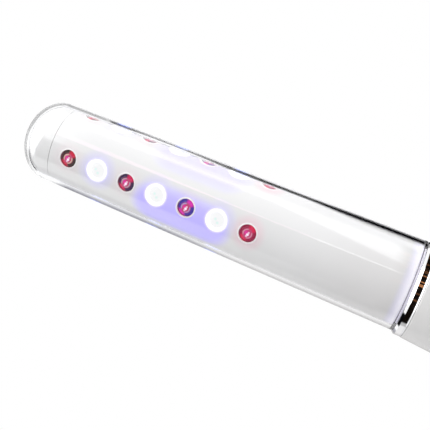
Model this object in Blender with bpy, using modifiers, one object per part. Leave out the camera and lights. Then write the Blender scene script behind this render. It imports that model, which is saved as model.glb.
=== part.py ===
"""Light therapy wand: a clear domed tube over a drum of LEDs, on a white battery handle.

The wand stands on its flat end cap with its tip up. The origin is the centre of the
base, +Z runs along the axis to the tip, and the buttons and the first LED row face -Y.
"""

import math

import bmesh
import bpy
from mathutils import Matrix, Vector

# General fits
FIT = 0.0003                    # gap between pieces that seat on each other
OVERRUN = 0.002                 # how far a cutter runs past what it cuts
MERGE = 0.00001                 # merge distance of the turned shapes

# Head: clear tube
TUBE_RADIUS_AT_RING = 0.01417
TUBE_RADIUS_AT_DOME = 0.01284
TUBE_WALL = 0.0012
DOME_RISE = 0.0097              # tip above the dome's widest ring, its centre
TUBE_EDGE = 0.0003              # broken edge of the tube's shoulder
NECK_STEP = 0.00087             # how far the neck that enters the handle is set in
NECK_WALL = 0.0012
NECK_LENGTH = 0.0159            # shoulder to the lower end of the neck
NECK_SHOULDER = 0.0030          # thick band of clear wall above the ring
NECK_BEVEL = 0.0009
DOME_STEPS = 6

# Head: LED rows
ROW_COUNT = 4
LEDS_PER_ROW = 7
LED_PITCH = 0.0100
RING_TO_FIRST_LED = 0.0491
LAST_LED_TO_DOME = 0.0098       # last LED to the centre of the dome
FIRST_ROW_ANGLE = -math.pi / 2

# LED lamp
LED_RADIUS = 0.0025
LED_FLANGE_RADIUS = 0.0029
LED_FLANGE_HEIGHT = 0.0010
LED_PROUD = 0.0002              # lens tip above the drum's skin
LED_SIDES = 10
LED_DOME_STEPS = 2

# Drum that carries the LEDs
DRUM_GAP = 0.00035              # air between the drum and the clear tube
DRUM_WALL = 0.0016
DRUM_SPIGOT_GAP = 0.0003        # air between the drum's spigot and the tube's neck
DRUM_SIDES = 28
SOCKET_GAP = 0.0002             # air between a lamp and its socket
SOCKET_SIDES = 12
BEZEL_WIDTH = 0.00045
BEZEL_HEIGHT = 0.00015
SEAM_BELOW_DOME = 0.0030        # seam of the tip cap below the dome's centre
CAP_SPIGOT_LENGTH = 0.0036
CAP_SOCKET_DEPTH = 0.0018

# Folded LED board and the mast inside it
FLEX_THICKNESS = 0.0008
FLEX_MARGIN = 0.0036            # board below the lowest LEDs' centres
FLEX_TOP_MARGIN = 0.0023
MAST_HALF_WIDTH = 0.0026        # at the tip-most lamps
MAST_SOCKET_DEPTH = 0.0015

# Motor cradle in the lower head
CRADLE_TOP_THICKNESS = 0.0050
CRADLE_TOP_BELOW_LED = 0.0062
MOTOR_RADIUS = 0.0060
MOTOR_NOSE_RADIUS = 0.0026
MOTOR_NOSE_HEIGHT = 0.0008
MOTOR_INSET = 0.0030            # motor's back in from the cradle's mouth
SHAFT_RADIUS = 0.0010
SHAFT_LENGTH = 0.0105
SHAFT_IN_MOTOR = 0.0025
SHAFT_HEADROOM = 0.0022         # shaft's tip to the cradle's ceiling
WEIGHT_GAP = 0.0011             # weight to the cradle's bore
WEIGHT_HUB_RADIUS = 0.0024
WEIGHT_THICKNESS = 0.0055
WEIGHT_ABOVE_NOSE = 0.0006
WEIGHT_FLAT = 0.0006            # the weight's flat side, off its axis

# Chrome ring
RING_HEIGHT = 0.0025            # handle shoulder to the ring's top edge
RING_LIP = 0.0001               # ring's upper edge beyond the tube's skin
RING_SET_IN = 0.0001            # ring's foot inside the handle's shoulder
RING_RIM_HEIGHT = 0.0006
RING_EDGE = 0.00015

# Handle sleeve
HANDLE_TOP_RADIUS = 0.0151
HANDLE_BELLY_RADIUS = 0.0171
HANDLE_BELLY_HEIGHT = 0.0466
HANDLE_FOOT_RADIUS = 0.0156
HANDLE_WALL = 0.0022
HANDLE_EDGE = 0.0004
HANDLE_STEPS_ABOVE = 5
HANDLE_STEPS_BELOW = 4
ROUND_SIDES = 36

# Buttons
BUTTONS_BELOW_TOP = {"power_button": 0.0336, "mode_button": 0.0516}
BUTTON_RADIUS = 0.0049
BUTTON_CROWN = 0.0005
BUTTON_PROUD = 0.0002           # crown's top above the handle's skin
BUTTON_FLANGE_RADIUS = 0.0060
BUTTON_FLANGE_THICKNESS = 0.0010
BUTTON_TRAVEL = 0.0005
BUTTON_SIDES = 24
SMALL_SIDES = 20                # motor, weight, battery and charging board
LANDING_DEPTH = 0.0013          # flat landing cut into the handle round a button
LANDING_RADIUS = 0.0080
MEMBRANE_THICKNESS = 0.0008
MEMBRANE_WIDTH = 0.0150
MEMBRANE_MARGIN = 0.0080        # membrane beyond the buttons' centres

# Electronics in the handle
SWITCH_SIZE = 0.0060
SWITCH_BODY_HEIGHT = 0.0030
SWITCH_PLUNGER_RADIUS = 0.0016
SWITCH_PLUNGER_HEIGHT = 0.0004
BOARD_THICKNESS = 0.0012
BOARD_WIDTH = 0.0160
BOARD_FLOOR_GAP = 0.0005        # frame's floor to the board's lower edge
BOARD_DECK_GAP = 0.0027         # board's upper edge to the frame's deck
SPINE_THICKNESS = 0.0016
SPINE_WIDTH = 0.0180
BATTERY_WALL_GAP = 0.0027       # battery to the inside of the handle
BATTERY_LENGTH = 0.0500
BATTERY_FLOOR_GAP = 0.0030
BATTERY_HEADROOM = 0.0054       # battery's nub to the frame's deck
BATTERY_NUB_RADIUS = 0.0025
BATTERY_NUB_HEIGHT = 0.0008
SADDLE_THICKNESS = 0.0020
SADDLE_INSET = 0.0065           # saddle in from each end of the battery
SADDLE_WIDTH = 0.0190
DECK_THICKNESS = 0.0030         # top disc of the frame
FLOOR_THICKNESS = 0.0022        # bottom disc of the frame
GASKET_THICKNESS = 0.0012

# End cap
CAP_SHOULDER = 0.0077
CAP_DRAFT = 0.0003              # cap's side leans in by this much to its base
CAP_EDGE_WIDTH = 0.0023
CAP_EDGE_HEIGHT = 0.0025
CAP_FLOOR = 0.0030
CAP_SPIGOT_WALL = 0.0016
CAP_SPIGOT_TOP = 0.0120
CAP_EDGE_STEPS = 4
SEAL_THICKNESS = 0.0008
SEAL_WIDTH = 0.0020
PIN_SPACING = 0.0070
PIN_RADIUS = 0.0012
PIN_FLANGE_RADIUS = 0.0020
PIN_FLANGE_HEIGHT = 0.0010
PIN_RECESS = 0.0006
PIN_TOP = 0.0057
CHARGE_BOARD_GAP = 0.0016       # charging board to the end cap's screws
CHARGE_BOARD_THICKNESS = 0.0010

# Screws
CAP_SCREW_INSET = 0.0020        # screw's axis in from the spigot's inner wall
CAP_SCREW_HEAD_RADIUS = 0.0020
CAP_SCREW_HEAD_HEIGHT = 0.0012
CAP_SCREW_RECESS = 0.0004
CAP_SCREW_RADIUS = 0.0009
CAP_SCREW_LENGTH = 0.0140
BOARD_SCREW_HEAD_RADIUS = 0.0016
BOARD_SCREW_HEAD_HEIGHT = 0.0010
BOARD_SCREW_RADIUS = 0.0008
BOARD_SCREW_LENGTH = 0.0028     # under the head
BOARD_SCREW_INSET = 0.0040      # in from the board's upper and lower edge
BOARD_SCREW_OFFSET = 0.0055
SCREW_SIDES = 12

# Wires
HARNESS_RADIUS = 0.0008
HARNESS_TRACK = 0.0090          # how far from the axis the harness climbs
HARNESS_ANGLE = -0.73
HARNESS_NOTCH = 0.0030          # notch in the board's upper edge where the harness ends
CABLE_RADIUS = 0.0006
WIRE_STEPS = 3                  # straight pieces between two places of a wire's route
SLOT_WIDTH = 0.0050
SLOT_HEIGHT = 0.0026

# Heights and radii that follow from the sizes above
HANDLE_FOOT = CAP_SHOULDER + SEAL_THICKNESS + 2 * FIT
FLOOR_BOTTOM = CAP_SPIGOT_TOP + FIT
FLOOR_TOP = FLOOR_BOTTOM + FLOOR_THICKNESS
BATTERY_BOTTOM = FLOOR_TOP + BATTERY_FLOOR_GAP
BATTERY_TOP = BATTERY_BOTTOM + BATTERY_LENGTH
DECK_BOTTOM = BATTERY_TOP + BATTERY_NUB_HEIGHT + BATTERY_HEADROOM
DECK_TOP = DECK_BOTTOM + DECK_THICKNESS
BORE_END = DECK_TOP + FIT
NECK_END = BORE_END + GASKET_THICKNESS + FIT
SHOULDER = NECK_END + NECK_LENGTH
RING_TOP = SHOULDER - FIT
HANDLE_TOP = RING_TOP - RING_HEIGHT
BUTTON_HEIGHTS = {name: HANDLE_TOP - below for name, below in BUTTONS_BELOW_TOP.items()}
FIRST_LED = RING_TOP + RING_TO_FIRST_LED
LAST_LED = FIRST_LED + (LEDS_PER_ROW - 1) * LED_PITCH
DOME_CENTRE = LAST_LED + LAST_LED_TO_DOME
DRUM_STEP = SHOULDER + NECK_SHOULDER
SEAM = DOME_CENTRE - SEAM_BELOW_DOME
SOCKET_RADIUS = LED_RADIUS + SOCKET_GAP
NECK_RADIUS = TUBE_RADIUS_AT_RING - NECK_STEP
BORE_RADIUS = NECK_RADIUS + FIT
SPIGOT_RADIUS = NECK_RADIUS - NECK_WALL - DRUM_SPIGOT_GAP
CRADLE_TOP = FIRST_LED - CRADLE_TOP_BELOW_LED
CRADLE_BOTTOM = DRUM_STEP + 2 * FIT
CRADLE_BORE = MOTOR_RADIUS + FIT
CRADLE_CEILING = CRADLE_TOP - CRADLE_TOP_THICKNESS
MOTOR_BOTTOM = CRADLE_BOTTOM + MOTOR_INSET
SHAFT_BOTTOM = CRADLE_CEILING - SHAFT_HEADROOM - SHAFT_LENGTH
MOTOR_TOP = SHAFT_BOTTOM + SHAFT_IN_MOTOR - MOTOR_NOSE_HEIGHT
WEIGHT_BOTTOM = MOTOR_TOP + MOTOR_NOSE_HEIGHT + WEIGHT_ABOVE_NOSE
WEIGHT_RADIUS = CRADLE_BORE - WEIGHT_GAP
CAP_SIDE_RADIUS = HANDLE_FOOT_RADIUS - CAP_DRAFT
CAP_BASE_RADIUS = CAP_SIDE_RADIUS - CAP_EDGE_WIDTH
CAP_SPIGOT_RADIUS = HANDLE_FOOT_RADIUS - HANDLE_WALL - FIT
CAP_SPIGOT_INSIDE = CAP_SPIGOT_RADIUS - CAP_SPIGOT_WALL
CAP_SCREW_OFFSET = CAP_SPIGOT_INSIDE - CAP_SCREW_INSET
CHARGE_BOARD_RADIUS = CAP_SCREW_OFFSET - CAP_SCREW_RADIUS - CHARGE_BOARD_GAP
BOARD_BOTTOM = FLOOR_TOP + BOARD_FLOOR_GAP
BOARD_TOP = DECK_BOTTOM - BOARD_DECK_GAP


def tube_radius(height):
    """Outer radius of the clear tube, which widens from the dome down to the ring."""
    share = (DOME_CENTRE - height) / (DOME_CENTRE - RING_TOP)
    return TUBE_RADIUS_AT_DOME + (TUBE_RADIUS_AT_RING - TUBE_RADIUS_AT_DOME) * share


def drum_radius(height):
    return tube_radius(height) - TUBE_WALL - DRUM_GAP


def drum_inner_radius(height):
    return drum_radius(height) - DRUM_WALL


# The lamps fill the room between the folded board and the drum's skin
LED_LENGTH = (
    drum_radius(LAST_LED) + LED_PROUD - MAST_HALF_WIDTH - FLEX_THICKNESS - 2 * FIT
)


def led_base(height):
    """Distance from the axis to the flat back of an LED."""
    return drum_radius(height) + LED_PROUD - LED_LENGTH


def flex_face(height):
    """Distance from the axis to an outer face of the folded LED board."""
    return led_base(height) - FIT


def flex_inside(height):
    return flex_face(height) - FLEX_THICKNESS


def mast_half_width(height):
    return flex_inside(height) - FIT


def handle_radius(height):
    """Outer radius of the handle, swelling to a belly between its shoulder and foot."""
    if height > HANDLE_BELLY_HEIGHT:
        share = (height - HANDLE_BELLY_HEIGHT) / (HANDLE_TOP - HANDLE_BELLY_HEIGHT)
        return HANDLE_BELLY_RADIUS - (HANDLE_BELLY_RADIUS - HANDLE_TOP_RADIUS) * share ** 2
    share = (HANDLE_BELLY_HEIGHT - height) / (HANDLE_BELLY_HEIGHT - HANDLE_FOOT)
    return HANDLE_BELLY_RADIUS - (HANDLE_BELLY_RADIUS - HANDLE_FOOT_RADIUS) * share ** 2


DECK_RADIUS = handle_radius(BORE_END) - HANDLE_WALL - FIT

# Places across the handle, counted from the axis towards the buttons
HANDLE_SKIN = min(handle_radius(height) for height in BUTTON_HEIGHTS.values())
HANDLE_INSIDE = HANDLE_SKIN - HANDLE_WALL
FLANGE_FRONT = math.sqrt(HANDLE_INSIDE ** 2 - BUTTON_FLANGE_RADIUS ** 2) - FIT
FLANGE_BACK = FLANGE_FRONT - BUTTON_FLANGE_THICKNESS
MEMBRANE_FRONT = FLANGE_BACK - BUTTON_TRAVEL - FIT
MEMBRANE_BACK = MEMBRANE_FRONT - MEMBRANE_THICKNESS
SWITCH_FRONT = MEMBRANE_BACK - FIT
SWITCH_BACK = SWITCH_FRONT - SWITCH_PLUNGER_HEIGHT - SWITCH_BODY_HEIGHT
BOARD_FRONT = SWITCH_BACK - FIT
BOARD_BACK = BOARD_FRONT - BOARD_THICKNESS
SPINE_FRONT = BOARD_BACK - FIT
SPINE_BACK = SPINE_FRONT - SPINE_THICKNESS

# The battery fills the room between the spine and the handle's far wall
BATTERY_ROOM = min(
    handle_radius(height) for height in (BATTERY_BOTTOM, HANDLE_BELLY_HEIGHT, BATTERY_TOP)
) - HANDLE_WALL - BATTERY_WALL_GAP
BATTERY_FRONT = SPINE_BACK - 2 * FIT
BATTERY_RADIUS = (BATTERY_ROOM + BATTERY_FRONT) / 2
BATTERY_AXIS = BATTERY_FRONT - BATTERY_RADIUS


def clear_scene():
    for item in list(bpy.data.objects):
        bpy.data.objects.remove(item, do_unlink=True)


def new_collection(name):
    collection = bpy.data.collections.new(name)
    bpy.context.scene.collection.children.link(collection)
    return collection


def finish(name, colour, roughness, metallic=0.0, transmission=0.0, glow=0.0):
    """A material with the piece's colour, roughness and metallic value."""
    material = bpy.data.materials.new(name)
    material.use_nodes = True
    shader = material.node_tree.nodes["Principled BSDF"]
    shader.inputs["Base Color"].default_value = (*colour, 1.0)
    shader.inputs["Roughness"].default_value = roughness
    shader.inputs["Metallic"].default_value = metallic
    shader.inputs["Transmission Weight"].default_value = transmission
    shader.inputs["Emission Color"].default_value = (*colour, 1.0)
    shader.inputs["Emission Strength"].default_value = glow
    material.diffuse_color = (*colour, 1.0)
    return material


def add_object(name, mesh, collection, material=None, parent=None):
    item = bpy.data.objects.new(name, mesh)
    collection.objects.link(item)
    if material is not None and not mesh.materials:
        mesh.materials.append(material)
    item.parent = parent
    return item


def add_empty(name, collection, location, rotation=(0, 0, 0)):
    item = bpy.data.objects.new(name, None)
    collection.objects.link(item)
    item.location = location
    item.rotation_euler = rotation
    return item


def as_cutter(item):
    item.hide_render = True
    item.display_type = 'WIRE'
    return item


def combine(item, other, operation):
    """Cuts, joins or intersects one object with another that stays as a guide."""
    modifier = item.modifiers.new(operation.lower() + "_" + other.name, 'BOOLEAN')
    modifier.operation = operation
    modifier.solver = 'EXACT'
    modifier.object = as_cutter(other)


def turned(name, outline, collection, material=None, sides=ROUND_SIDES, closed=False, parent=None):
    """A profile of (radius, height) points turned round the object's own Z axis."""
    mesh = bpy.data.meshes.new(name)
    points = [(radius, 0, height) for radius, height in outline]
    edges = [(index, index + 1) for index in range(len(points) - 1)]
    if closed:
        edges.append((len(points) - 1, 0))
    mesh.from_pydata(points, edges, [])
    item = add_object(name, mesh, collection, material, parent)
    screw = item.modifiers.new("turn", 'SCREW')
    screw.axis = 'Z'
    screw.steps = sides
    screw.render_steps = sides
    screw.use_smooth_shade = True
    screw.use_merge_vertices = True
    screw.merge_threshold = MERGE
    return item


def arc(centre_radius, centre_height, radius, start, end, steps):
    """Points of an arc in a profile, with its angles counted up from the outward side."""
    points = []
    for step in range(steps + 1):
        angle = start + (end - start) * step / steps
        points.append((
            centre_radius + radius * math.cos(angle),
            centre_height + radius * math.sin(angle),
        ))
    return points


def dome(radius, rise, centre_height, steps):
    """The outer curve of a flattened dome from its tip, on the axis, to its widest ring."""
    flatness = rise / radius
    points = [
        (reach, centre_height + height * flatness)
        for reach, height in arc(0, 0, radius, math.pi / 2, 0, steps)
    ]
    points[0] = (0, centre_height + rise)
    return points


def box(name, lowest, highest, collection, material=None):
    """A box between two corners, with its origin at its centre."""
    low = Vector(lowest)
    high = Vector(highest)
    mesh = bpy.data.meshes.new(name)
    shape = bmesh.new()
    bmesh.ops.create_cube(shape, size=1.0)
    bmesh.ops.scale(shape, vec=high - low, verts=shape.verts)
    shape.to_mesh(mesh)
    shape.free()
    item = add_object(name, mesh, collection, material)
    item.location = (low + high) / 2
    return item


def rods(name, radius, length, places, collection, sides):
    """Round bars of one size, each placed by a matrix that carries its lower end."""
    mesh = bpy.data.meshes.new(name)
    shape = bmesh.new()
    for place in places:
        bmesh.ops.create_cone(
            shape, cap_ends=True, segments=sides, radius1=radius, radius2=radius,
            depth=length, matrix=place @ Matrix.Translation((0, 0, length / 2)),
        )
    shape.to_mesh(mesh)
    shape.free()
    return add_object(name, mesh, collection)


def rod(name, radius, lowest, highest, collection, sides, centre=(0, 0)):
    """An upright round bar between two heights."""
    place = Matrix.Translation((centre[0], centre[1], lowest))
    return rods(name, radius, highest - lowest, [place], collection, sides)


def facing_front(depth, height, across=0.0):
    """A place on the button side, at a distance from the axis, whose +Z points to -Y."""
    return Matrix.Translation((across, -depth, height)) @ Matrix.Rotation(math.pi / 2, 4, 'X')


def along_row(row, distance, height):
    """A place on an LED row, at a distance from the axis, whose +Z points outward."""
    angle = FIRST_ROW_ANGLE + row * 2 * math.pi / ROW_COUNT
    turn = Matrix.Rotation(angle, 4, 'Z')
    return turn @ Matrix.Translation((distance, 0, height)) @ Matrix.Rotation(math.pi / 2, 4, 'Y')


def led_heights():
    return [LAST_LED - index * LED_PITCH for index in range(LEDS_PER_ROW)]


def baked_mesh(item):
    """The item's finished mesh, so that copies can share it."""
    bpy.context.view_layer.update()
    graph = bpy.context.evaluated_depsgraph_get()
    mesh = bpy.data.meshes.new_from_object(item.evaluated_get(graph))
    bpy.data.objects.remove(item, do_unlink=True)
    return mesh


def wire(name, radius, route, collection, material):
    """A round wire along its route, made a mesh with its caps welded."""
    curve = bpy.data.curves.new(name, 'CURVE')
    curve.dimensions = '3D'
    curve.bevel_depth = radius
    curve.bevel_resolution = 1
    curve.use_fill_caps = True
    spline = curve.splines.new('POLY')
    spline.points.add(len(route) - 1)
    for point, place in zip(spline.points, route):
        point.co = (*place, 1.0)
    guide = bpy.data.objects.new(name + "_guide", curve)
    collection.objects.link(guide)
    mesh = baked_mesh(guide)
    shape = bmesh.new()
    shape.from_mesh(mesh)
    bmesh.ops.remove_doubles(shape, verts=shape.verts, dist=MERGE)
    shape.to_mesh(mesh)
    shape.free()
    mesh.materials.clear()
    return add_object(name, mesh, collection, material)


def eased(places):
    """Points of a smooth curve through the given places."""
    points = []
    spots = [Vector(place) for place in places]
    padded = [2 * spots[0] - spots[1]] + spots + [2 * spots[-1] - spots[-2]]
    for index in range(1, len(padded) - 2):
        before, start, end, after = padded[index - 1:index + 3]
        for step in range(WIRE_STEPS):
            share = step / WIRE_STEPS
            points.append(0.5 * (
                2 * start + (end - before) * share
                + (2 * before - 5 * start + 4 * end - after) * share ** 2
                + (3 * start - before - 3 * end + after) * share ** 3
            ))
    points.append(spots[-1])
    return points


def make_clear_tube(parts, material):
    inner_dome = dome(
        TUBE_RADIUS_AT_DOME - TUBE_WALL, DOME_RISE - TUBE_WALL, DOME_CENTRE, DOME_STEPS
    )
    outline = dome(TUBE_RADIUS_AT_DOME, DOME_RISE, DOME_CENTRE, DOME_STEPS)
    outline += [
        (tube_radius(SHOULDER + TUBE_EDGE), SHOULDER + TUBE_EDGE),
        (tube_radius(SHOULDER) - TUBE_EDGE, SHOULDER),
        (NECK_RADIUS, SHOULDER),
        (NECK_RADIUS, NECK_END),
        (NECK_RADIUS - NECK_WALL, NECK_END),
        (NECK_RADIUS - NECK_WALL, DRUM_STEP - NECK_BEVEL),
        (tube_radius(DRUM_STEP) - TUBE_WALL, DRUM_STEP),
    ]
    outline += reversed(inner_dome)
    return turned("clear_tube", outline, parts, material)


def drum_outline(outer_add, inner_cut):
    """Outline of the drum's skin, thickened outward and inward from its radius."""
    return [
        (drum_radius(SEAM) + outer_add, SEAM),
        (drum_radius(DRUM_STEP) + outer_add, DRUM_STEP + FIT),
        (drum_radius(DRUM_STEP) - inner_cut, DRUM_STEP + FIT),
        (drum_radius(SEAM) - inner_cut, SEAM),
    ]


def make_drum(parts, guides, material):
    """The LED drum: a tapered shell with bezelled sockets and a spigot into the neck."""
    top = SEAM - FIT
    floor = DECK_TOP + FIT
    inner_spigot = SPIGOT_RADIUS - DRUM_WALL
    step = DRUM_STEP + FIT
    outline = [
        (drum_radius(top), top),
        (drum_radius(step), step),
        (SPIGOT_RADIUS, step - NECK_BEVEL),
        (SPIGOT_RADIUS, floor),
        (inner_spigot, floor),
        (inner_spigot, step - NECK_BEVEL),
        (drum_inner_radius(step), step),
        (drum_inner_radius(top), top),
    ]
    drum = turned("led_carrier", outline, parts, material, sides=DRUM_SIDES, closed=True)

    spots = [(row, height) for row in range(ROW_COUNT) for height in led_heights()]
    reach = DRUM_WALL + OVERRUN
    bezels = rods(
        "bezels", SOCKET_RADIUS + BEZEL_WIDTH, reach,
        [along_row(row, drum_radius(height) - DRUM_WALL / 2, height) for row, height in spots],
        guides, SOCKET_SIDES,
    )
    skin = turned(
        "bezel_skin", drum_outline(BEZEL_HEIGHT, DRUM_WALL / 3), guides,
        sides=DRUM_SIDES, closed=True,
    )
    combine(bezels, skin, 'INTERSECT')
    sockets = rods(
        "sockets", SOCKET_RADIUS, reach + OVERRUN,
        [along_row(row, drum_inner_radius(height) - OVERRUN, height) for row, height in spots],
        guides, SOCKET_SIDES,
    )
    combine(drum, bezels, 'UNION')
    combine(drum, sockets, 'DIFFERENCE')
    return drum


def make_tip_cap(parts, guides, material):
    """The drum's domed end, with a plug into the drum and a socket for the mast."""
    radius = TUBE_RADIUS_AT_DOME - TUBE_WALL - DRUM_GAP
    plug_radius = drum_inner_radius(SEAM) - FIT
    plug_end = SEAM - CAP_SPIGOT_LENGTH
    outline = dome(radius, DOME_RISE - TUBE_WALL - DRUM_GAP, DOME_CENTRE, DOME_STEPS)
    outline += [
        (drum_radius(SEAM), SEAM),
        (plug_radius, SEAM),
        (plug_radius, plug_end),
        (0, plug_end),
    ]
    cap = turned("carrier_tip_cap", outline, parts, material, sides=DRUM_SIDES)
    half = mast_half_width(plug_end) + FIT
    socket = box(
        "mast_socket", (-half, -half, plug_end - OVERRUN),
        (half, half, plug_end + CAP_SOCKET_DEPTH), guides,
    )
    combine(cap, socket, 'DIFFERENCE')
    return cap


def led_mesh(guides):
    """A round lamp: a flange at the back, a barrel and a domed lens."""
    outline = arc(0, LED_LENGTH - LED_RADIUS, LED_RADIUS, math.pi / 2, 0, LED_DOME_STEPS)
    outline[0] = (0, LED_LENGTH)
    outline += [
        (LED_RADIUS, LED_FLANGE_HEIGHT),
        (LED_FLANGE_RADIUS, LED_FLANGE_HEIGHT),
        (LED_FLANGE_RADIUS, 0),
        (0, 0),
    ]
    return baked_mesh(turned("led_shape", outline, guides, sides=LED_SIDES))


def make_leds(parts, guides, materials):
    """Rows of lamps, red and blue by turns, starting with red at the tip."""
    shape = led_mesh(guides)
    meshes = {}
    for colour, material in materials.items():
        meshes[colour] = shape.copy()
        meshes[colour].materials.clear()
        meshes[colour].materials.append(material)
    colours = list(materials)
    for row in range(ROW_COUNT):
        turn = FIRST_ROW_ANGLE + row * 2 * math.pi / ROW_COUNT
        rail = add_empty(f"led_row_{row + 1}", parts, (0, 0, 0), (0, 0, turn))
        for index, height in enumerate(led_heights()):
            colour = colours[index % len(colours)]
            lamp = add_object(f"led_{colour}_{row + 1}_{index + 1}", meshes[colour], parts, None, rail)
            lamp.location = (led_base(height), 0, height)
            lamp.rotation_euler = (0, math.pi / 2, 0)


def square_taper(name, half_width, low, high, collection, material=None):
    """A square bar whose half width follows a function of the height."""
    mesh = bpy.data.meshes.new(name)
    shape = bmesh.new()
    bmesh.ops.create_cone(
        shape, cap_ends=True, segments=4, depth=high - low,
        radius1=half_width(low) * math.sqrt(2), radius2=half_width(high) * math.sqrt(2),
        matrix=Matrix.Rotation(math.pi / 4, 4, 'Z'),
    )
    shape.to_mesh(mesh)
    shape.free()
    item = add_object(name, mesh, collection, material)
    item.location = (0, 0, (low + high) / 2)
    return item


def make_led_board(parts, guides, material):
    """The circuit board folded into a square round the mast, one face to an LED row."""
    low = FIRST_LED - FLEX_MARGIN
    high = LAST_LED + FLEX_TOP_MARGIN
    board = square_taper("led_flex_board", flex_face, low, high, parts, material)
    inside = square_taper("flex_inside", flex_inside, low - OVERRUN, high + OVERRUN, guides)
    combine(board, inside, 'DIFFERENCE')
    return board


def make_mast(parts, material):
    """The square tapered bar that carries the folded board."""
    low = CRADLE_TOP - MAST_SOCKET_DEPTH + FIT
    high = SEAM - CAP_SPIGOT_LENGTH + CAP_SOCKET_DEPTH - FIT
    return square_taper("board_mast", mast_half_width, low, high, parts, material)


def make_cradle(parts, guides, material):
    """The cup in the lower head that holds the motor and carries the mast."""
    outline = [
        (0, CRADLE_TOP),
        (drum_inner_radius(CRADLE_TOP) - FIT, CRADLE_TOP),
        (drum_inner_radius(CRADLE_BOTTOM) - FIT, CRADLE_BOTTOM),
        (CRADLE_BORE, CRADLE_BOTTOM),
        (CRADLE_BORE, CRADLE_CEILING),
        (0, CRADLE_CEILING),
    ]
    cradle = turned("motor_cradle", outline, parts, material, sides=DRUM_SIDES)
    half = mast_half_width(CRADLE_TOP - MAST_SOCKET_DEPTH) + FIT
    socket = box(
        "cradle_socket", (-half, -half, CRADLE_TOP - MAST_SOCKET_DEPTH),
        (half, half, CRADLE_TOP + OVERRUN), guides,
    )
    channel = rod(
        "harness_channel", HARNESS_RADIUS + FIT, CRADLE_BOTTOM - OVERRUN,
        CRADLE_TOP + OVERRUN, guides, SCREW_SIDES, harness_centre(),
    )
    mouth_width = HARNESS_RADIUS + FIT
    mouth = box(
        "harness_mouth", (HARNESS_TRACK, -mouth_width, CRADLE_BOTTOM - OVERRUN),
        (drum_radius(CRADLE_BOTTOM), mouth_width, CRADLE_TOP + OVERRUN), guides,
    )
    mouth.location = Matrix.Rotation(HARNESS_ANGLE, 4, 'Z') @ mouth.location
    mouth.rotation_euler = (0, 0, HARNESS_ANGLE)
    combine(channel, mouth, 'UNION')
    combine(cradle, socket, 'DIFFERENCE')
    combine(cradle, channel, 'DIFFERENCE')
    return cradle


def harness_centre():
    """Where the harness climbs, above the main board's upper edge."""
    return (HARNESS_TRACK * math.cos(HARNESS_ANGLE), HARNESS_TRACK * math.sin(HARNESS_ANGLE))


def make_motor(parts, guides, finishes):
    """The vibration motor, and the shaft and weight that it spins."""
    outline = [
        (SHAFT_RADIUS + FIT, MOTOR_TOP + MOTOR_NOSE_HEIGHT),
        (MOTOR_NOSE_RADIUS, MOTOR_TOP + MOTOR_NOSE_HEIGHT),
        (MOTOR_NOSE_RADIUS, MOTOR_TOP),
        (MOTOR_RADIUS, MOTOR_TOP),
        (MOTOR_RADIUS, MOTOR_BOTTOM),
        (0, MOTOR_BOTTOM),
    ]
    bore = [(0, SHAFT_BOTTOM - FIT), (SHAFT_RADIUS + FIT, SHAFT_BOTTOM - FIT)]
    turned("vibration_motor", bore + outline, parts, finishes["steel"], sides=SMALL_SIDES)

    spindle = add_empty("rotor_axis", parts, (0, 0, SHAFT_BOTTOM))
    shaft = [(0, SHAFT_LENGTH), (SHAFT_RADIUS, SHAFT_LENGTH), (SHAFT_RADIUS, 0), (0, 0)]
    turned("motor_shaft", shaft, parts, finishes["steel"], sides=SCREW_SIDES, parent=spindle)

    bottom = WEIGHT_BOTTOM - SHAFT_BOTTOM
    top = bottom + WEIGHT_THICKNESS
    disc = [
        (WEIGHT_RADIUS, top), (WEIGHT_RADIUS, bottom),
        (SHAFT_RADIUS + FIT, bottom), (SHAFT_RADIUS + FIT, top),
    ]
    weight = turned(
        "eccentric_weight", disc, parts, finishes["brass"], sides=SMALL_SIDES, closed=True, parent=spindle,
    )
    reach = WEIGHT_RADIUS + OVERRUN
    trim = box(
        "weight_trim", (-reach, WEIGHT_FLAT, bottom - OVERRUN), (reach, reach, top + OVERRUN), guides,
    )
    trim.parent = spindle
    hub = rod("weight_hub", WEIGHT_HUB_RADIUS, bottom - 2 * OVERRUN, top + 2 * OVERRUN, guides, SCREW_SIDES)
    hub.parent = spindle
    combine(trim, hub, 'DIFFERENCE')
    combine(weight, trim, 'DIFFERENCE')


def make_ring(parts, material):
    """The bright ring: a cone that flares from the tube to the handle, and a thin rim."""
    foot = HANDLE_TOP + FIT
    rim = foot + RING_RIM_HEIGHT
    top_radius = TUBE_RADIUS_AT_RING + RING_LIP
    foot_radius = HANDLE_TOP_RADIUS - RING_SET_IN
    outline = [
        (top_radius - RING_EDGE, RING_TOP),
        (top_radius, RING_TOP - RING_EDGE),
        (foot_radius - RING_EDGE, rim + RING_EDGE),
        (foot_radius, rim),
        (foot_radius, foot),
        (BORE_RADIUS, foot),
        (BORE_RADIUS, RING_TOP),
    ]
    return turned("chrome_ring", outline, parts, material, closed=True)


def make_gasket(parts, material):
    """The gasket squeezed between the tube's neck and the frame's deck."""
    top = NECK_END - FIT
    outline = [
        (NECK_RADIUS, top), (NECK_RADIUS, top - GASKET_THICKNESS),
        (SPIGOT_RADIUS + DRUM_SPIGOT_GAP, top - GASKET_THICKNESS),
        (SPIGOT_RADIUS + DRUM_SPIGOT_GAP, top),
    ]
    return turned("neck_gasket", outline, parts, material, sides=DRUM_SIDES, closed=True)


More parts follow.
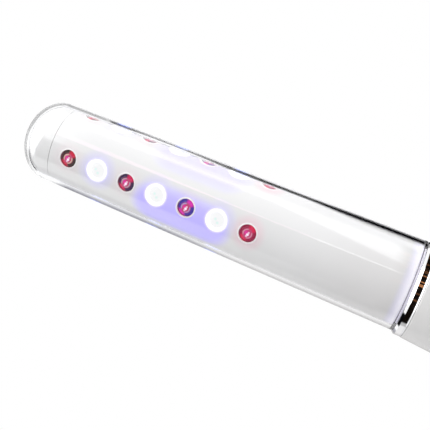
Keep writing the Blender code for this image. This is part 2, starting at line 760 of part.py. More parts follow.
def make_sleeve(parts, guides, material):
    """The handle's one-piece sleeve, with a flat landing and a hole for each button."""
    outline = [(HANDLE_TOP_RADIUS - HANDLE_EDGE, HANDLE_TOP)]
    start = HANDLE_TOP - HANDLE_EDGE
    for step in range(HANDLE_STEPS_ABOVE + 1):
        height = start + (HANDLE_BELLY_HEIGHT - start) * step / HANDLE_STEPS_ABOVE
        outline.append((handle_radius(height), height))
    for step in range(1, HANDLE_STEPS_BELOW + 1):
        height = HANDLE_BELLY_HEIGHT + (HANDLE_FOOT - HANDLE_BELLY_HEIGHT) * step / HANDLE_STEPS_BELOW
        outline.append((handle_radius(height), height))
    inside = [HANDLE_FOOT, (HANDLE_FOOT + HANDLE_BELLY_HEIGHT) / 2, HANDLE_BELLY_HEIGHT,
              (HANDLE_BELLY_HEIGHT + BORE_END) / 2, BORE_END]
    outline += [(handle_radius(height) - HANDLE_WALL, height) for height in inside]
    outline += [(BORE_RADIUS, BORE_END), (BORE_RADIUS, HANDLE_TOP)]
    sleeve = turned("handle_sleeve", outline, parts, material, closed=True)

    reach = HANDLE_WALL + LANDING_DEPTH + OVERRUN
    landings = rods(
        "button_landings", LANDING_RADIUS, reach,
        [facing_front(handle_radius(height) - LANDING_DEPTH, height)
         for height in BUTTON_HEIGHTS.values()],
        guides, BUTTON_SIDES,
    )
    depth = FLANGE_BACK - OVERRUN
    holes = rods(
        "button_holes", BUTTON_RADIUS + FIT, HANDLE_BELLY_RADIUS + OVERRUN - depth,
        [facing_front(depth, height) for height in BUTTON_HEIGHTS.values()],
        guides, BUTTON_SIDES,
    )
    combine(sleeve, landings, 'DIFFERENCE')
    combine(sleeve, holes, 'DIFFERENCE')
    return sleeve


def make_buttons(parts, material):
    """Round crowned buttons, each on the axis of its own travel."""
    for name, height in BUTTON_HEIGHTS.items():
        seat = handle_radius(height) - LANDING_DEPTH
        crown = handle_radius(height) + BUTTON_PROUD - seat
        axis = add_empty(name + "_axis", parts, (0, -seat, height), (math.pi / 2, 0, 0))
        outline = [
            (0, crown),
            (BUTTON_RADIUS / 2, crown - BUTTON_CROWN / 4),
            (BUTTON_RADIUS - BUTTON_CROWN, crown - BUTTON_CROWN),
            (BUTTON_RADIUS, crown - 2 * BUTTON_CROWN),
            (BUTTON_RADIUS, FLANGE_FRONT - seat),
            (BUTTON_FLANGE_RADIUS, FLANGE_FRONT - seat),
            (BUTTON_FLANGE_RADIUS, FLANGE_BACK - seat),
            (0, FLANGE_BACK - seat),
        ]
        turned(name, outline, parts, material, sides=BUTTON_SIDES, parent=axis)


def make_membrane(parts, material):
    heights = BUTTON_HEIGHTS.values()
    half = MEMBRANE_WIDTH / 2
    return box(
        "button_membrane", (-half, -MEMBRANE_FRONT, min(heights) - MEMBRANE_MARGIN),
        (half, -MEMBRANE_BACK, max(heights) + MEMBRANE_MARGIN), parts, material,
    )


def make_switches(parts, guides, material):
    half = SWITCH_SIZE / 2
    body_front = SWITCH_FRONT - SWITCH_PLUNGER_HEIGHT
    for name, height in BUTTON_HEIGHTS.items():
        kind = name.replace("button", "switch")
        switch = box(
            kind, (-half, -body_front, height - half), (half, -SWITCH_BACK, height + half),
            parts, material,
        )
        plunger = rods(
            kind + "_plunger", SWITCH_PLUNGER_RADIUS, SWITCH_PLUNGER_HEIGHT + SWITCH_BODY_HEIGHT / 2,
            [facing_front(body_front - SWITCH_BODY_HEIGHT / 2, height)], guides, SCREW_SIDES,
        )
        combine(switch, plunger, 'UNION')


def board_screw_places():
    """One screw low on the board's right, and one high on its left."""
    return [
        (BOARD_SCREW_OFFSET, BOARD_BOTTOM + BOARD_SCREW_INSET),
        (-BOARD_SCREW_OFFSET, BOARD_TOP - BOARD_SCREW_INSET),
    ]


def make_board(parts, guides, material):
    half = BOARD_WIDTH / 2
    board = box(
        "main_board", (-half, -BOARD_FRONT, BOARD_BOTTOM), (half, -BOARD_BACK, BOARD_TOP),
        parts, material,
    )
    holes = rods(
        "board_screw_holes", BOARD_SCREW_RADIUS + FIT, BOARD_FRONT - SPINE_BACK + 2 * OVERRUN,
        [facing_front(SPINE_BACK - OVERRUN, height, across) for across, height in board_screw_places()],
        guides, SCREW_SIDES,
    )
    across, along = harness_centre()
    half_notch = HARNESS_RADIUS + FIT
    notch = box(
        "harness_notch", (across - half_notch, -BOARD_FRONT - OVERRUN, BOARD_TOP - HARNESS_NOTCH),
        (across + half_notch, -SPINE_BACK + OVERRUN, DECK_TOP), guides,
    )
    combine(board, holes, 'DIFFERENCE')
    combine(board, notch, 'DIFFERENCE')
    return holes, notch


def make_frame(parts, guides, material, board_holes, notch):
    """The inner frame: deck and floor discs on a flat spine with battery saddles."""
    spine = box(
        "inner_frame", (-SPINE_WIDTH / 2, -SPINE_FRONT, FLOOR_TOP - FLOOR_THICKNESS / 2),
        (SPINE_WIDTH / 2, -SPINE_BACK, DECK_BOTTOM + DECK_THICKNESS / 2), parts, material,
    )
    deck = rod("frame_deck", DECK_RADIUS, DECK_BOTTOM, DECK_TOP, guides, DRUM_SIDES)
    floor = rod("frame_floor", CAP_SPIGOT_RADIUS, FLOOR_BOTTOM, FLOOR_TOP, guides, DRUM_SIDES)
    combine(spine, notch, 'DIFFERENCE')
    combine(spine, deck, 'UNION')
    combine(spine, floor, 'UNION')
    saddles = []
    for place, height in (("lower", BATTERY_BOTTOM + SADDLE_INSET),
                          ("upper", BATTERY_TOP - SADDLE_INSET - SADDLE_THICKNESS)):
        saddles.append(box(
            f"{place}_saddle", (-SADDLE_WIDTH / 2, -SPINE_BACK - SPINE_THICKNESS / 2, height),
            (SADDLE_WIDTH / 2, -BATTERY_AXIS, height + SADDLE_THICKNESS), guides,
        ))
    for saddle in saddles:
        combine(spine, saddle, 'UNION')
    pocket = rod(
        "battery_pocket", BATTERY_RADIUS + FIT, BATTERY_BOTTOM - FIT,
        BATTERY_TOP + BATTERY_NUB_HEIGHT + FIT, guides, SMALL_SIDES, (0, -BATTERY_AXIS),
    )
    combine(spine, pocket, 'DIFFERENCE')
    combine(spine, board_holes, 'DIFFERENCE')
    slot = box(
        "battery_cable_slot",
        (-SLOT_WIDTH / 2, -SPINE_FRONT - OVERRUN, battery_cable_height() - SLOT_HEIGHT / 2),
        (SLOT_WIDTH / 2, -SPINE_BACK + OVERRUN, battery_cable_height() + SLOT_HEIGHT / 2), guides,
    )
    combine(spine, slot, 'DIFFERENCE')
    passage = rod(
        "harness_hole", HARNESS_RADIUS + FIT, DECK_BOTTOM - OVERRUN, DECK_TOP + OVERRUN,
        guides, SCREW_SIDES, harness_centre(),
    )
    combine(spine, passage, 'DIFFERENCE')
    lead_hole = rod(
        "charge_cable_hole", CABLE_RADIUS + FIT, FLOOR_BOTTOM - OVERRUN, FLOOR_TOP + OVERRUN,
        guides, SCREW_SIDES, charge_cable_centre(),
    )
    combine(spine, lead_hole, 'DIFFERENCE')
    screw_holes = rods(
        "frame_screw_holes", CAP_SCREW_RADIUS + FIT, FLOOR_THICKNESS + 2 * OVERRUN,
        [Matrix.Translation((across, 0, FLOOR_BOTTOM - OVERRUN)) for across in cap_screw_places()],
        guides, SCREW_SIDES,
    )
    combine(spine, screw_holes, 'DIFFERENCE')
    return spine


def battery_cable_height():
    return BOARD_TOP - SLOT_HEIGHT / 2


def charge_cable_centre():
    return (0, -(BOARD_FRONT + BOARD_BACK) / 2)


def cap_screw_places():
    return (-CAP_SCREW_OFFSET, CAP_SCREW_OFFSET)


def make_battery(parts, material):
    top = BATTERY_LENGTH
    outline = [
        (0, top + BATTERY_NUB_HEIGHT),
        (BATTERY_NUB_RADIUS, top + BATTERY_NUB_HEIGHT),
        (BATTERY_NUB_RADIUS, top),
        (BATTERY_RADIUS, top),
        (BATTERY_RADIUS, 0),
        (0, 0),
    ]
    battery = turned("battery", outline, parts, material, sides=SMALL_SIDES)
    battery.location = (0, -BATTERY_AXIS, BATTERY_BOTTOM)
    return battery


def make_end_cap(parts, guides, material):
    """The flat-based cap that plugs the handle's foot, with pin holes and screw wells."""
    outline = [
        (0, CAP_FLOOR),
        (CAP_SPIGOT_INSIDE, CAP_FLOOR),
        (CAP_SPIGOT_INSIDE, CAP_SPIGOT_TOP),
        (CAP_SPIGOT_RADIUS, CAP_SPIGOT_TOP),
        (CAP_SPIGOT_RADIUS, CAP_SHOULDER),
        (HANDLE_FOOT_RADIUS, CAP_SHOULDER),
        (CAP_SIDE_RADIUS, CAP_EDGE_HEIGHT),
    ]
    reach = CAP_SIDE_RADIUS - CAP_BASE_RADIUS
    for step in range(1, CAP_EDGE_STEPS):
        angle = math.pi / 2 * step / CAP_EDGE_STEPS
        outline.append((
            CAP_BASE_RADIUS + reach * math.cos(angle),
            CAP_EDGE_HEIGHT - CAP_EDGE_HEIGHT * math.sin(angle),
        ))
    outline += [(CAP_BASE_RADIUS, 0), (0, 0)]
    cap = turned("end_cap", outline, parts, material)
    pin_holes = rods(
        "pin_holes", PIN_RADIUS + FIT, CAP_FLOOR + 2 * OVERRUN,
        [Matrix.Translation((across, 0, -OVERRUN)) for across in pin_places()], guides, SCREW_SIDES,
    )
    screw_holes = rods(
        "cap_screw_holes", CAP_SCREW_RADIUS + FIT, CAP_FLOOR + 2 * OVERRUN,
        [Matrix.Translation((across, 0, -OVERRUN)) for across in cap_screw_places()], guides, SCREW_SIDES,
    )
    wells = rods(
        "cap_screw_wells", CAP_SCREW_HEAD_RADIUS + FIT,
        CAP_SCREW_RECESS + CAP_SCREW_HEAD_HEIGHT + FIT + OVERRUN,
        [Matrix.Translation((across, 0, -OVERRUN)) for across in cap_screw_places()], guides, SCREW_SIDES,
    )
    combine(cap, pin_holes, 'DIFFERENCE')
    combine(cap, screw_holes, 'DIFFERENCE')
    combine(cap, wells, 'DIFFERENCE')
    return cap


def pin_places():
    return (-PIN_SPACING / 2, PIN_SPACING / 2)


def make_end_seal(parts, material):
    low = CAP_SHOULDER + FIT
    outline = [
        (HANDLE_FOOT_RADIUS - FIT, low + SEAL_THICKNESS),
        (HANDLE_FOOT_RADIUS - FIT, low),
        (HANDLE_FOOT_RADIUS - FIT - SEAL_WIDTH, low),
        (HANDLE_FOOT_RADIUS - FIT - SEAL_WIDTH, low + SEAL_THICKNESS),
    ]
    return turned("end_cap_seal", outline, parts, material, closed=True)


def copies(name, outline, places, parts, guides, material):
    """Copies of one small turned piece, which share its mesh."""
    shape = baked_mesh(turned(name + "_shape", outline, guides, sides=SCREW_SIDES))
    for number, place in enumerate(places, start=1):
        copy = add_object(f"{name}_{number}", shape, parts, material)
        copy.matrix_world = place


def make_pins(parts, guides, material):
    """Two spring contacts in the base, under the little charging board."""
    flange_bottom = CAP_FLOOR + FIT
    flange_top = flange_bottom + PIN_FLANGE_HEIGHT
    outline = [
        (0, PIN_TOP),
        (PIN_RADIUS, PIN_TOP),
        (PIN_RADIUS, flange_top),
        (PIN_FLANGE_RADIUS, flange_top),
        (PIN_FLANGE_RADIUS, flange_bottom),
        (PIN_RADIUS, flange_bottom),
        (PIN_RADIUS, PIN_RECESS),
        (0, PIN_RECESS),
    ]
    places = [Matrix.Translation((across, 0, 0)) for across in pin_places()]
    copies("charging_pin", outline, places, parts, guides, material)


def make_charge_board(parts, material):
    low = PIN_TOP + FIT
    high = low + CHARGE_BOARD_THICKNESS
    outline = [(0, high), (CHARGE_BOARD_RADIUS, high), (CHARGE_BOARD_RADIUS, low), (0, low)]
    return turned("charge_board", outline, parts, material, sides=SMALL_SIDES)


def screw_outline(head_radius, head_height, radius, length):
    """A screw with its head down at height zero and its shank up."""
    return [
        (0, head_height + length),
        (radius, head_height + length),
        (radius, head_height),
        (head_radius, head_height),
        (head_radius, 0),
        (0, 0),
    ]


def make_screws(parts, guides, material):
    cap_screw = screw_outline(
        CAP_SCREW_HEAD_RADIUS, CAP_SCREW_HEAD_HEIGHT, CAP_SCREW_RADIUS, CAP_SCREW_LENGTH,
    )
    copies(
        "end_cap_screw", cap_screw,
        [Matrix.Translation((across, 0, CAP_SCREW_RECESS)) for across in cap_screw_places()],
        parts, guides, material,
    )
    board_screw = screw_outline(
        BOARD_SCREW_HEAD_RADIUS, BOARD_SCREW_HEAD_HEIGHT, BOARD_SCREW_RADIUS, BOARD_SCREW_LENGTH,
    )
    head = BOARD_FRONT + FIT + BOARD_SCREW_HEAD_HEIGHT
    flip = Matrix.Rotation(math.pi, 4, 'X')
    copies(
        "board_screw", board_screw,
        [facing_front(head, height, across) @ flip for across, height in board_screw_places()],
        parts, guides, material,
    )


def make_wires(parts, material):
    """The harness up to the LED board, and the cables of the battery and the pins."""
    across, along = harness_centre()
    board_end = FIRST_LED - FLEX_MARGIN
    climb = [
        (across, along, BOARD_TOP - HARNESS_NOTCH + FIT),
    ]
    bend = [
        (across, along, CRADLE_TOP - 2 * HARNESS_RADIUS),
        (across, along, CRADLE_TOP),
        (across - HARNESS_RADIUS, along + 2 * HARNESS_RADIUS, CRADLE_TOP + 2 * HARNESS_RADIUS),
        (flex_face(board_end), along / 2, board_end - HARNESS_RADIUS - FIT),
    ]
    wire("head_harness", HARNESS_RADIUS, climb + eased(bend), parts, material)

    nub_top = BATTERY_TOP + BATTERY_NUB_HEIGHT
    behind_board = -BOARD_BACK + FIT + CABLE_RADIUS
    battery_cable = [
        (0, -BATTERY_AXIS, nub_top + FIT),
        (0, -BATTERY_AXIS - CABLE_RADIUS, (nub_top + battery_cable_height()) / 2),
        (0, -BATTERY_AXIS - BATTERY_RADIUS / 2, battery_cable_height()),
        (0, -SPINE_BACK, battery_cable_height()),
        (0, behind_board, battery_cable_height()),
    ]
    wire("battery_cable", CABLE_RADIUS, eased(battery_cable), parts, material)

    lead_x, lead_y = charge_cable_centre()
    charge_board_top = PIN_TOP + 2 * FIT + CHARGE_BOARD_THICKNESS
    charge_cable = [
        (lead_x, lead_y / 2, charge_board_top),
        (lead_x, lead_y * 3 / 4, (charge_board_top + FLOOR_BOTTOM) / 2),
        (lead_x, lead_y, FLOOR_BOTTOM),
        (lead_x, lead_y, BOARD_BOTTOM - FIT),
    ]
    wire("charge_cable", CABLE_RADIUS, eased(charge_cable), parts, material)


def main():
    clear_scene()
    parts = new_collection("light_therapy_wand")
    guides = new_collection("cutters")
    white = finish("gloss_white", (0.86, 0.86, 0.87), 0.18)
    drum_white = finish("drum_white", (0.82, 0.82, 0.84), 0.35)
    clear = finish("clear_acrylic", (0.95, 0.97, 0.98), 0.03, transmission=1.0)
    chrome = finish("chrome", (0.82, 0.82, 0.83), 0.06, metallic=1.0)
    rubber = finish("grey_silicone", (0.45, 0.46, 0.48), 0.6)
    board_green = finish("circuit_board", (0.05, 0.25, 0.12), 0.45)
    board_white = finish("white_circuit_board", (0.85, 0.85, 0.82), 0.45)
    aluminium = finish("aluminium", (0.7, 0.71, 0.72), 0.35, metallic=1.0)
    cell = finish("battery_wrap", (0.1, 0.25, 0.5), 0.4)
    button_white = finish("button_grey_white", (0.75, 0.76, 0.79), 0.3)
    black = finish("switch_black", (0.03, 0.03, 0.03), 0.5)
    frame_white = finish("frame_white", (0.7, 0.7, 0.7), 0.5)
    finishes = {
        "steel": finish("steel", (0.6, 0.6, 0.6), 0.3, metallic=1.0),
        "brass": finish("brass", (0.75, 0.58, 0.25), 0.3, metallic=1.0),
    }
    lamps = {
        "red": finish("led_red", (0.85, 0.03, 0.12), 0.12, glow=1.0),
        "blue": finish("led_blue", (0.35, 0.4, 1.0), 0.12, glow=3.0),
    }

    make_clear_tube(parts, clear)
    make_drum(parts, guides, drum_white)
    make_tip_cap(parts, guides, drum_white)
    make_leds(parts, guides, lamps)
    make_led_board(parts, guides, board_white)
    make_mast(parts, aluminium)
    make_cradle(parts, guides, frame_white)
    make_motor(parts, guides, finishes)
    make_ring(parts, chrome)
    make_gasket(parts, rubber)
    make_sleeve(parts, guides, white)
    make_buttons(parts, button_white)
    make_membrane(parts, rubber)
    make_switches(parts, guides, black)
    board_holes, notch = make_board(parts, guides, board_green)
    make_frame(parts, guides, frame_white, board_holes, notch)
    make_battery(parts, cell)
    make_end_cap(parts, guides, white)
    make_end_seal(parts, rubber)
    make_pins(parts, guides, finish("gold_plate", (0.83, 0.62, 0.24), 0.2, metallic=1.0))
    make_charge_board(parts, board_green)
    make_screws(parts, guides, finishes["steel"])
    make_wires(parts, finish("cable_red", (0.6, 0.06, 0.05), 0.5))


main()
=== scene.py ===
"""Looks of the light therapy wand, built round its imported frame.

Lengths are in metres. The wand stands on its base with its tip up, +Z along its axis.
"""

import math

import bmesh
import bpy
from mathutils import Matrix, Vector


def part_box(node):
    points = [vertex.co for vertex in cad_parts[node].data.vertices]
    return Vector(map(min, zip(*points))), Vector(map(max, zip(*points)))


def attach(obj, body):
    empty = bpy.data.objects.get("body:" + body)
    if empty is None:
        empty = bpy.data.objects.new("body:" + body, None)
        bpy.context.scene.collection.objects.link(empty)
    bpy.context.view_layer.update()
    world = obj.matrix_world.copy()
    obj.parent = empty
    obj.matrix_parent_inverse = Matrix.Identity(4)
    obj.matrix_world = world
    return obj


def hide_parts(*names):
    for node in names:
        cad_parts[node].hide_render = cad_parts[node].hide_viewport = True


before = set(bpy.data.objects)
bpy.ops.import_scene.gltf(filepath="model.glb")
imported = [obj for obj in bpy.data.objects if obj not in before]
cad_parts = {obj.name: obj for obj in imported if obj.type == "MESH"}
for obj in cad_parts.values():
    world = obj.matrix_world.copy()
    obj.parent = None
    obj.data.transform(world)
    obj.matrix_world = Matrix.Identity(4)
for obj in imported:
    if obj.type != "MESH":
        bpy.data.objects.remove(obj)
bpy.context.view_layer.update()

# Heights read from the frame
RING_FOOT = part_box("chrome_ring")[0].z
RING_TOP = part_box("chrome_ring")[1].z
HANDLE_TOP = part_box("handle_sleeve")[1].z
HANDLE_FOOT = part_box("handle_sleeve")[0].z
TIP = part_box("clear_tube")[1].z
NECK_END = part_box("clear_tube")[0].z
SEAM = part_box("led_carrier")[1].z
CARRIER_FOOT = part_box("led_carrier")[0].z
SEAL_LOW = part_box("end_cap_seal")[0].z
SEAL_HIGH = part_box("end_cap_seal")[1].z

# Clear tube
TUBE_RADIUS_AT_RING = 0.01417
TUBE_RADIUS_AT_DOME = 0.01284
TUBE_WALL = 0.0012
DOME_RISE = 0.0097
DOME_CENTRE = TIP - DOME_RISE
NECK_RADIUS = 0.0133
NECK_WALL = 0.0012
NECK_SHOULDER = 0.0006
SHOULDER = RING_TOP + 0.0003
TUBE_SIDES = 256
DOME_STEPS = 40

# Drum and its sockets
DRUM_GAP = 0.00035
DRUM_WALL = 0.0016
DRUM_SIDES = 192
SPIGOT_GAP = 0.0003
SEAM_CHAMFER = 0.00012
SOCKET_RADIUS = 0.0027
BEZEL_WIDTH = 0.00045
BEZEL_HEIGHT = 0.00015
BEZEL_ROOT = 0.0004
BEZEL_OVERLAP = 0.00002
BEZEL_STEPS = 48
ROW_COUNT = 4
LEDS_PER_ROW = 7
LED_RADIUS = 0.0026
LENS_HEIGHT = 0.0015
LED_FLANGE_RADIUS = 0.0029
LED_FLANGE_HEIGHT = 0.0010
LED_STEPS = 40
OVERRUN = 0.002
MERGE = 0.000001

# Chrome ring: it closes the fine gaps to the tube and handle
RING_RISE = 0.00025
RING_DROP = 0.00028
RING_CONE = 0.00075
RING_BEAD = 0.00045

# Handle
HANDLE_TOP_RADIUS = 0.0151
HANDLE_BELLY_RADIUS = 0.0171
HANDLE_BELLY_HEIGHT = 0.0466
HANDLE_FOOT_RADIUS = 0.0156
HANDLE_WALL = 0.0022
HANDLE_EDGE = 0.0005
HANDLE_STEPS = 36
HANDLE_SIDES = 192

# The photograph's camera: its place round, beside and along the wand, and its turns in degrees
CAMERA_AROUND = -71.615
CAMERA_DISTANCE = 0.22422
CAMERA_BELOW_TIP_LED = 0.08752
CAMERA_YAW = -10.264
CAMERA_PITCH = -0.659
CAMERA_ROLL = 22.379
CAMERA_LENS = 61.56
CAMERA_SENSOR = 36.0

# Floor
FLOOR_RADIUS = 0.35
FLOOR_THICKNESS = 0.004


def tube_radius(height):
    share = (DOME_CENTRE - height) / (DOME_CENTRE - RING_TOP)
    return TUBE_RADIUS_AT_DOME + (TUBE_RADIUS_AT_RING - TUBE_RADIUS_AT_DOME) * share


def drum_radius(height):
    return tube_radius(height) - TUBE_WALL - DRUM_GAP


def handle_radius(height):
    """Outer radius of the handle, swelling to a belly between its shoulder and foot."""
    if height > HANDLE_BELLY_HEIGHT:
        share = (height - HANDLE_BELLY_HEIGHT) / (HANDLE_TOP - HANDLE_BELLY_HEIGHT)
        return HANDLE_BELLY_RADIUS - (HANDLE_BELLY_RADIUS - HANDLE_TOP_RADIUS) * share ** 2
    share = (HANDLE_BELLY_HEIGHT - height) / (HANDLE_BELLY_HEIGHT - HANDLE_FOOT)
    return HANDLE_BELLY_RADIUS - (HANDLE_BELLY_RADIUS - HANDLE_FOOT_RADIUS) * share ** 2


def dome_curve(radius, rise):
    """A flattened dome's profile, from its tip on the axis to its widest ring."""
    flatness = rise / radius
    curve = [(reach, DOME_CENTRE + height * flatness)
             for reach, height in arc(radius, 0, math.pi / 2, 0, DOME_STEPS)]
    curve[0] = (0, DOME_CENTRE + rise)
    return curve


def centre_of(node):
    low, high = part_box(node)
    return (low + high) / 2


# Mesh helpers

HOLD = 1.25


def filleted(points, steps=4):
    """A profile whose corners are rounded: each point is (radius, height, fillet)."""
    rounded = []
    for index, (radius, height, fillet) in enumerate(points):
        corner = Vector((radius, height))
        if fillet == 0 or index in (0, len(points) - 1):
            rounded.append(corner)
            continue
        before = Vector(points[index - 1][:2])
        after = Vector(points[index + 1][:2])
        back = (before - corner).normalized() * fillet
        ahead = (after - corner).normalized() * fillet
        # The faces beside the corner are held flat by one more loop on each side
        rounded.append(corner + back * HOLD)
        for step in range(steps + 1):
            share = step / steps
            rounded.append(corner + back * (1 - share) ** 2 + ahead * share ** 2)
        rounded.append(corner + ahead * HOLD)
    return [tuple(point) for point in rounded]


def arc(radius, centre_height, start, end, steps):
    return [
        (
            radius * math.cos(start + (end - start) * step / steps),
            centre_height + radius * math.sin(start + (end - start) * step / steps),
        )
        for step in range(steps + 1)
    ]


def add_piece(name, shape, materials, smooth_angle=40):
    """Makes an object of a bmesh, shaded smooth up to an angle in degrees."""
    bmesh.ops.recalc_face_normals(shape, faces=shape.faces)
    mesh = bpy.data.meshes.new(name)
    shape.to_mesh(mesh)
    shape.free()
    for material in materials:
        mesh.materials.append(material)
    mesh.shade_smooth()
    mesh.set_sharp_from_angle(angle=math.radians(smooth_angle))
    piece = bpy.data.objects.new(name, mesh)
    bpy.context.scene.collection.objects.link(piece)
    return piece


def add_turned(shape, outline, sides, closed=False, slot=0):
    """Adds a profile turned round Z to a bmesh. Points on the axis become single vertices."""
    rings = []
    for radius, height in outline:
        if radius < MERGE:
            rings.append([shape.verts.new((0, 0, height))])
            continue
        rings.append([
            shape.verts.new((
                radius * math.cos(2 * math.pi * side / sides),
                radius * math.sin(2 * math.pi * side / sides),
                height,
            ))
            for side in range(sides)
        ])
    pairs = list(zip(rings, rings[1:]))
    if closed:
        pairs.append((rings[-1], rings[0]))
    for upper, lower in pairs:
        for side in range(sides):
            after = (side + 1) % sides
            corners = [upper[side % len(upper)], upper[after % len(upper)],
                       lower[after % len(lower)], lower[side % len(lower)]]
            unique = list(dict.fromkeys(corners))
            if len(unique) > 2:
                face = shape.faces.new(unique)
                face.material_index = slot


def turned(name, outline, sides, materials, closed=False, smooth_angle=40):
    shape = bmesh.new()
    add_turned(shape, outline, sides, closed)
    return add_piece(name, shape, materials, smooth_angle)


def bake_modifiers(piece, smooth_angle=40):
    """Applies the piece's modifiers and shades it again."""
    bpy.context.view_layer.update()
    graph = bpy.context.evaluated_depsgraph_get()
    mesh = bpy.data.meshes.new_from_object(piece.evaluated_get(graph))
    piece.modifiers.clear()
    piece.data = mesh
    mesh.shade_smooth()
    mesh.set_sharp_from_angle(angle=math.radians(smooth_angle))


def cut(piece, cutter):
    """Cuts one piece with another, which is then removed."""
    boolean = piece.modifiers.new("cut", 'BOOLEAN')
    boolean.operation = 'DIFFERENCE'
    boolean.solver = 'EXACT'
    boolean.material_mode = 'TRANSFER'
    boolean.object = cutter
    bake_modifiers(piece)
    bpy.data.objects.remove(cutter, do_unlink=True)


def along_row(row, distance, height):
    """A place on a lamp row, at a distance from the axis, whose +Z points outward."""
    angle = -math.pi / 2 + row * 2 * math.pi / ROW_COUNT
    turn = Matrix.Rotation(angle, 4, 'Z')
    return turn @ Matrix.Translation((distance, 0, height)) @ Matrix.Rotation(math.pi / 2, 4, 'Y')


def lamp_colour(index):
    return "red" if index % 2 == 0 else "blue"


def lamp_places():
    """(row, index, node, height, base) of every lamp, read from the frame."""
    found = []
    for row in range(ROW_COUNT):
        for index in range(LEDS_PER_ROW):
            node = f"led_{lamp_colour(index)}_{row + 1}_{index + 1}"
            low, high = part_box(node)
            corners = [abs(value) for value in (low.x, low.y, high.x, high.y)]
            found.append((row, index, node, (low.z + high.z) / 2, max(corners)))
    return found


# Material helpers


class Nodes:
    """Short calls that add nodes to a tree and wire them."""

    def __init__(self, tree):
        self.tree = tree

    def add(self, kind, **settings):
        made = self.tree.nodes.new(kind)
        for name, value in settings.items():
            setattr(made, name, value)
        return made

    def feed(self, socket, value):
        if isinstance(value, bpy.types.NodeSocket):
            self.tree.links.new(value, socket)
        elif isinstance(value, tuple) and len(value) == 3 and len(socket.default_value) == 4:
            socket.default_value = (*value, 1.0)
        else:
            socket.default_value = value

    def math(self, operation, *values, clamp=False):
        made = self.add("ShaderNodeMath", operation=operation, use_clamp=clamp)
        for socket, value in zip(made.inputs, values):
            self.feed(socket, value)
        return made.outputs[0]

    def rise(self, value, low, high, start=0.0, end=1.0):
        """Smooth step of a value from low to high, scaled to start and end."""
        made = self.add("ShaderNodeMapRange", interpolation_type='SMOOTHSTEP')
        for socket, number in zip(made.inputs, (value, low, high, start, end)):
            self.feed(socket, number)
        return made.outputs[0]

    def band(self, value, low, high, softness):
        """One between low and high, falling to zero over the softness on each side."""
        up = self.rise(value, low - softness, low + softness)
        down = self.rise(value, high - softness, high + softness, 1.0, 0.0)
        return self.math('MULTIPLY', up, down)

    def mix(self, share, first, second):
        made = self.add("ShaderNodeMix", data_type='RGBA')
        self.feed(made.inputs[0], share)
        self.feed(made.inputs[6], first)
        self.feed(made.inputs[7], second)
        return made.outputs[2]

    def noise(self, vector, scale, detail=2.0, roughness=0.5):
        made = self.add("ShaderNodeTexNoise")
        self.feed(made.inputs["Vector"], vector)
        made.inputs["Scale"].default_value = scale
        made.inputs["Detail"].default_value = detail
        made.inputs["Roughness"].default_value = roughness
        return made.outputs["Fac"]

    def place(self):
        """The object's own coordinates, and their three parts."""
        vector = self.add("ShaderNodeTexCoord").outputs["Object"]
        parts = self.add("ShaderNodeSeparateXYZ")
        self.tree.links.new(vector, parts.inputs[0])
        return vector, parts.outputs[0], parts.outputs[1], parts.outputs[2]

    def bump(self, height, strength, distance):
        made = self.add("ShaderNodeBump")
        self.feed(made.inputs["Height"], height)
        made.inputs["Strength"].default_value = strength
        made.inputs["Distance"].default_value = distance
        return made.outputs["Normal"]


def new_material(name):
    """(material, nodes, its Principled shader)"""
    material = bpy.data.materials.new(name)
    material.use_nodes = True
    return material, Nodes(material.node_tree), material.node_tree.nodes["Principled BSDF"]


def plain(name, colour, roughness, metallic=0.0, grain=600.0, spread=0.06, coat=0.0, bump=0.00002):
    """A moulded, plated or rolled surface: slightly uneven in colour, gloss and height."""
    material, nodes, shader = new_material(name)
    vector = nodes.place()[0]
    speckle = nodes.noise(vector, grain, 3.0)
    cloud = nodes.noise(vector, grain / 12, 2.0)
    light = tuple(min(1.0, part * (1 + spread / 2)) for part in colour)
    dark = tuple(part * (1 - spread / 2) for part in colour)
    nodes.feed(shader.inputs["Base Color"], nodes.mix(cloud, dark, light))
    nodes.feed(shader.inputs["Roughness"],
               nodes.rise(speckle, 0.3, 0.7, roughness * 0.85, roughness * 1.15))
    nodes.feed(shader.inputs["Normal"], nodes.bump(speckle, 0.3, bump))
    shader.inputs["Metallic"].default_value = metallic
    shader.inputs["Coat Weight"].default_value = coat
    shader.inputs["Coat Roughness"].default_value = 0.04
    return material


def clear_acrylic(heights):
    """Clear plastic, with the blue lamps' light painted on its rim as glow where the rim is seen edge-on.
    """
    material, nodes, shader = new_material("clear_acrylic")
    vector, x, y, z = nodes.place()
    pitch = heights[1] - heights[3]
    step = nodes.math('ABSOLUTE', nodes.math(
        'WRAP', nodes.math('SUBTRACT', z, heights[1]), pitch / 2, -pitch / 2
    ))
    aside = nodes.math('ABSOLUTE', along_skin(nodes, x, y, heights[3]))
    # Painted glow: emission near the blue lamps, shown only where the rim is seen edge-on
    painted_blue_glow = nodes.math('MULTIPLY', nodes.rise(step, 0.0008, 0.0030, 1.0, 0.0),
                      nodes.rise(aside, 0.0045, 0.0078, 1.0, 0.0))
    painted_blue_glow = nodes.math('MULTIPLY', painted_blue_glow, nodes.band(z, heights[6] + 0.002, heights[0] - 0.002, 0.001))
    facing = nodes.add("ShaderNodeLayerWeight").outputs["Facing"]
    painted_blue_glow = nodes.math('MULTIPLY', painted_blue_glow, nodes.rise(facing, 0.62, 0.86))
    shader.inputs["Emission Color"].default_value = (0.06, 0.16, 1.0, 1.0)
    nodes.feed(shader.inputs["Emission Strength"], nodes.math('MULTIPLY', painted_blue_glow, EDGE_GLOW_PAINTED))
    shader.inputs["Base Color"].default_value = (0.985, 0.99, 1.0, 1.0)
    shader.inputs["Transmission Weight"].default_value = 1.0
    shader.inputs["IOR"].default_value = 1.49
    haze = nodes.noise(vector, 90.0, 2.0)
    nodes.feed(shader.inputs["Roughness"], nodes.rise(haze, 0.3, 0.7, 0.0, 0.015))
    return material


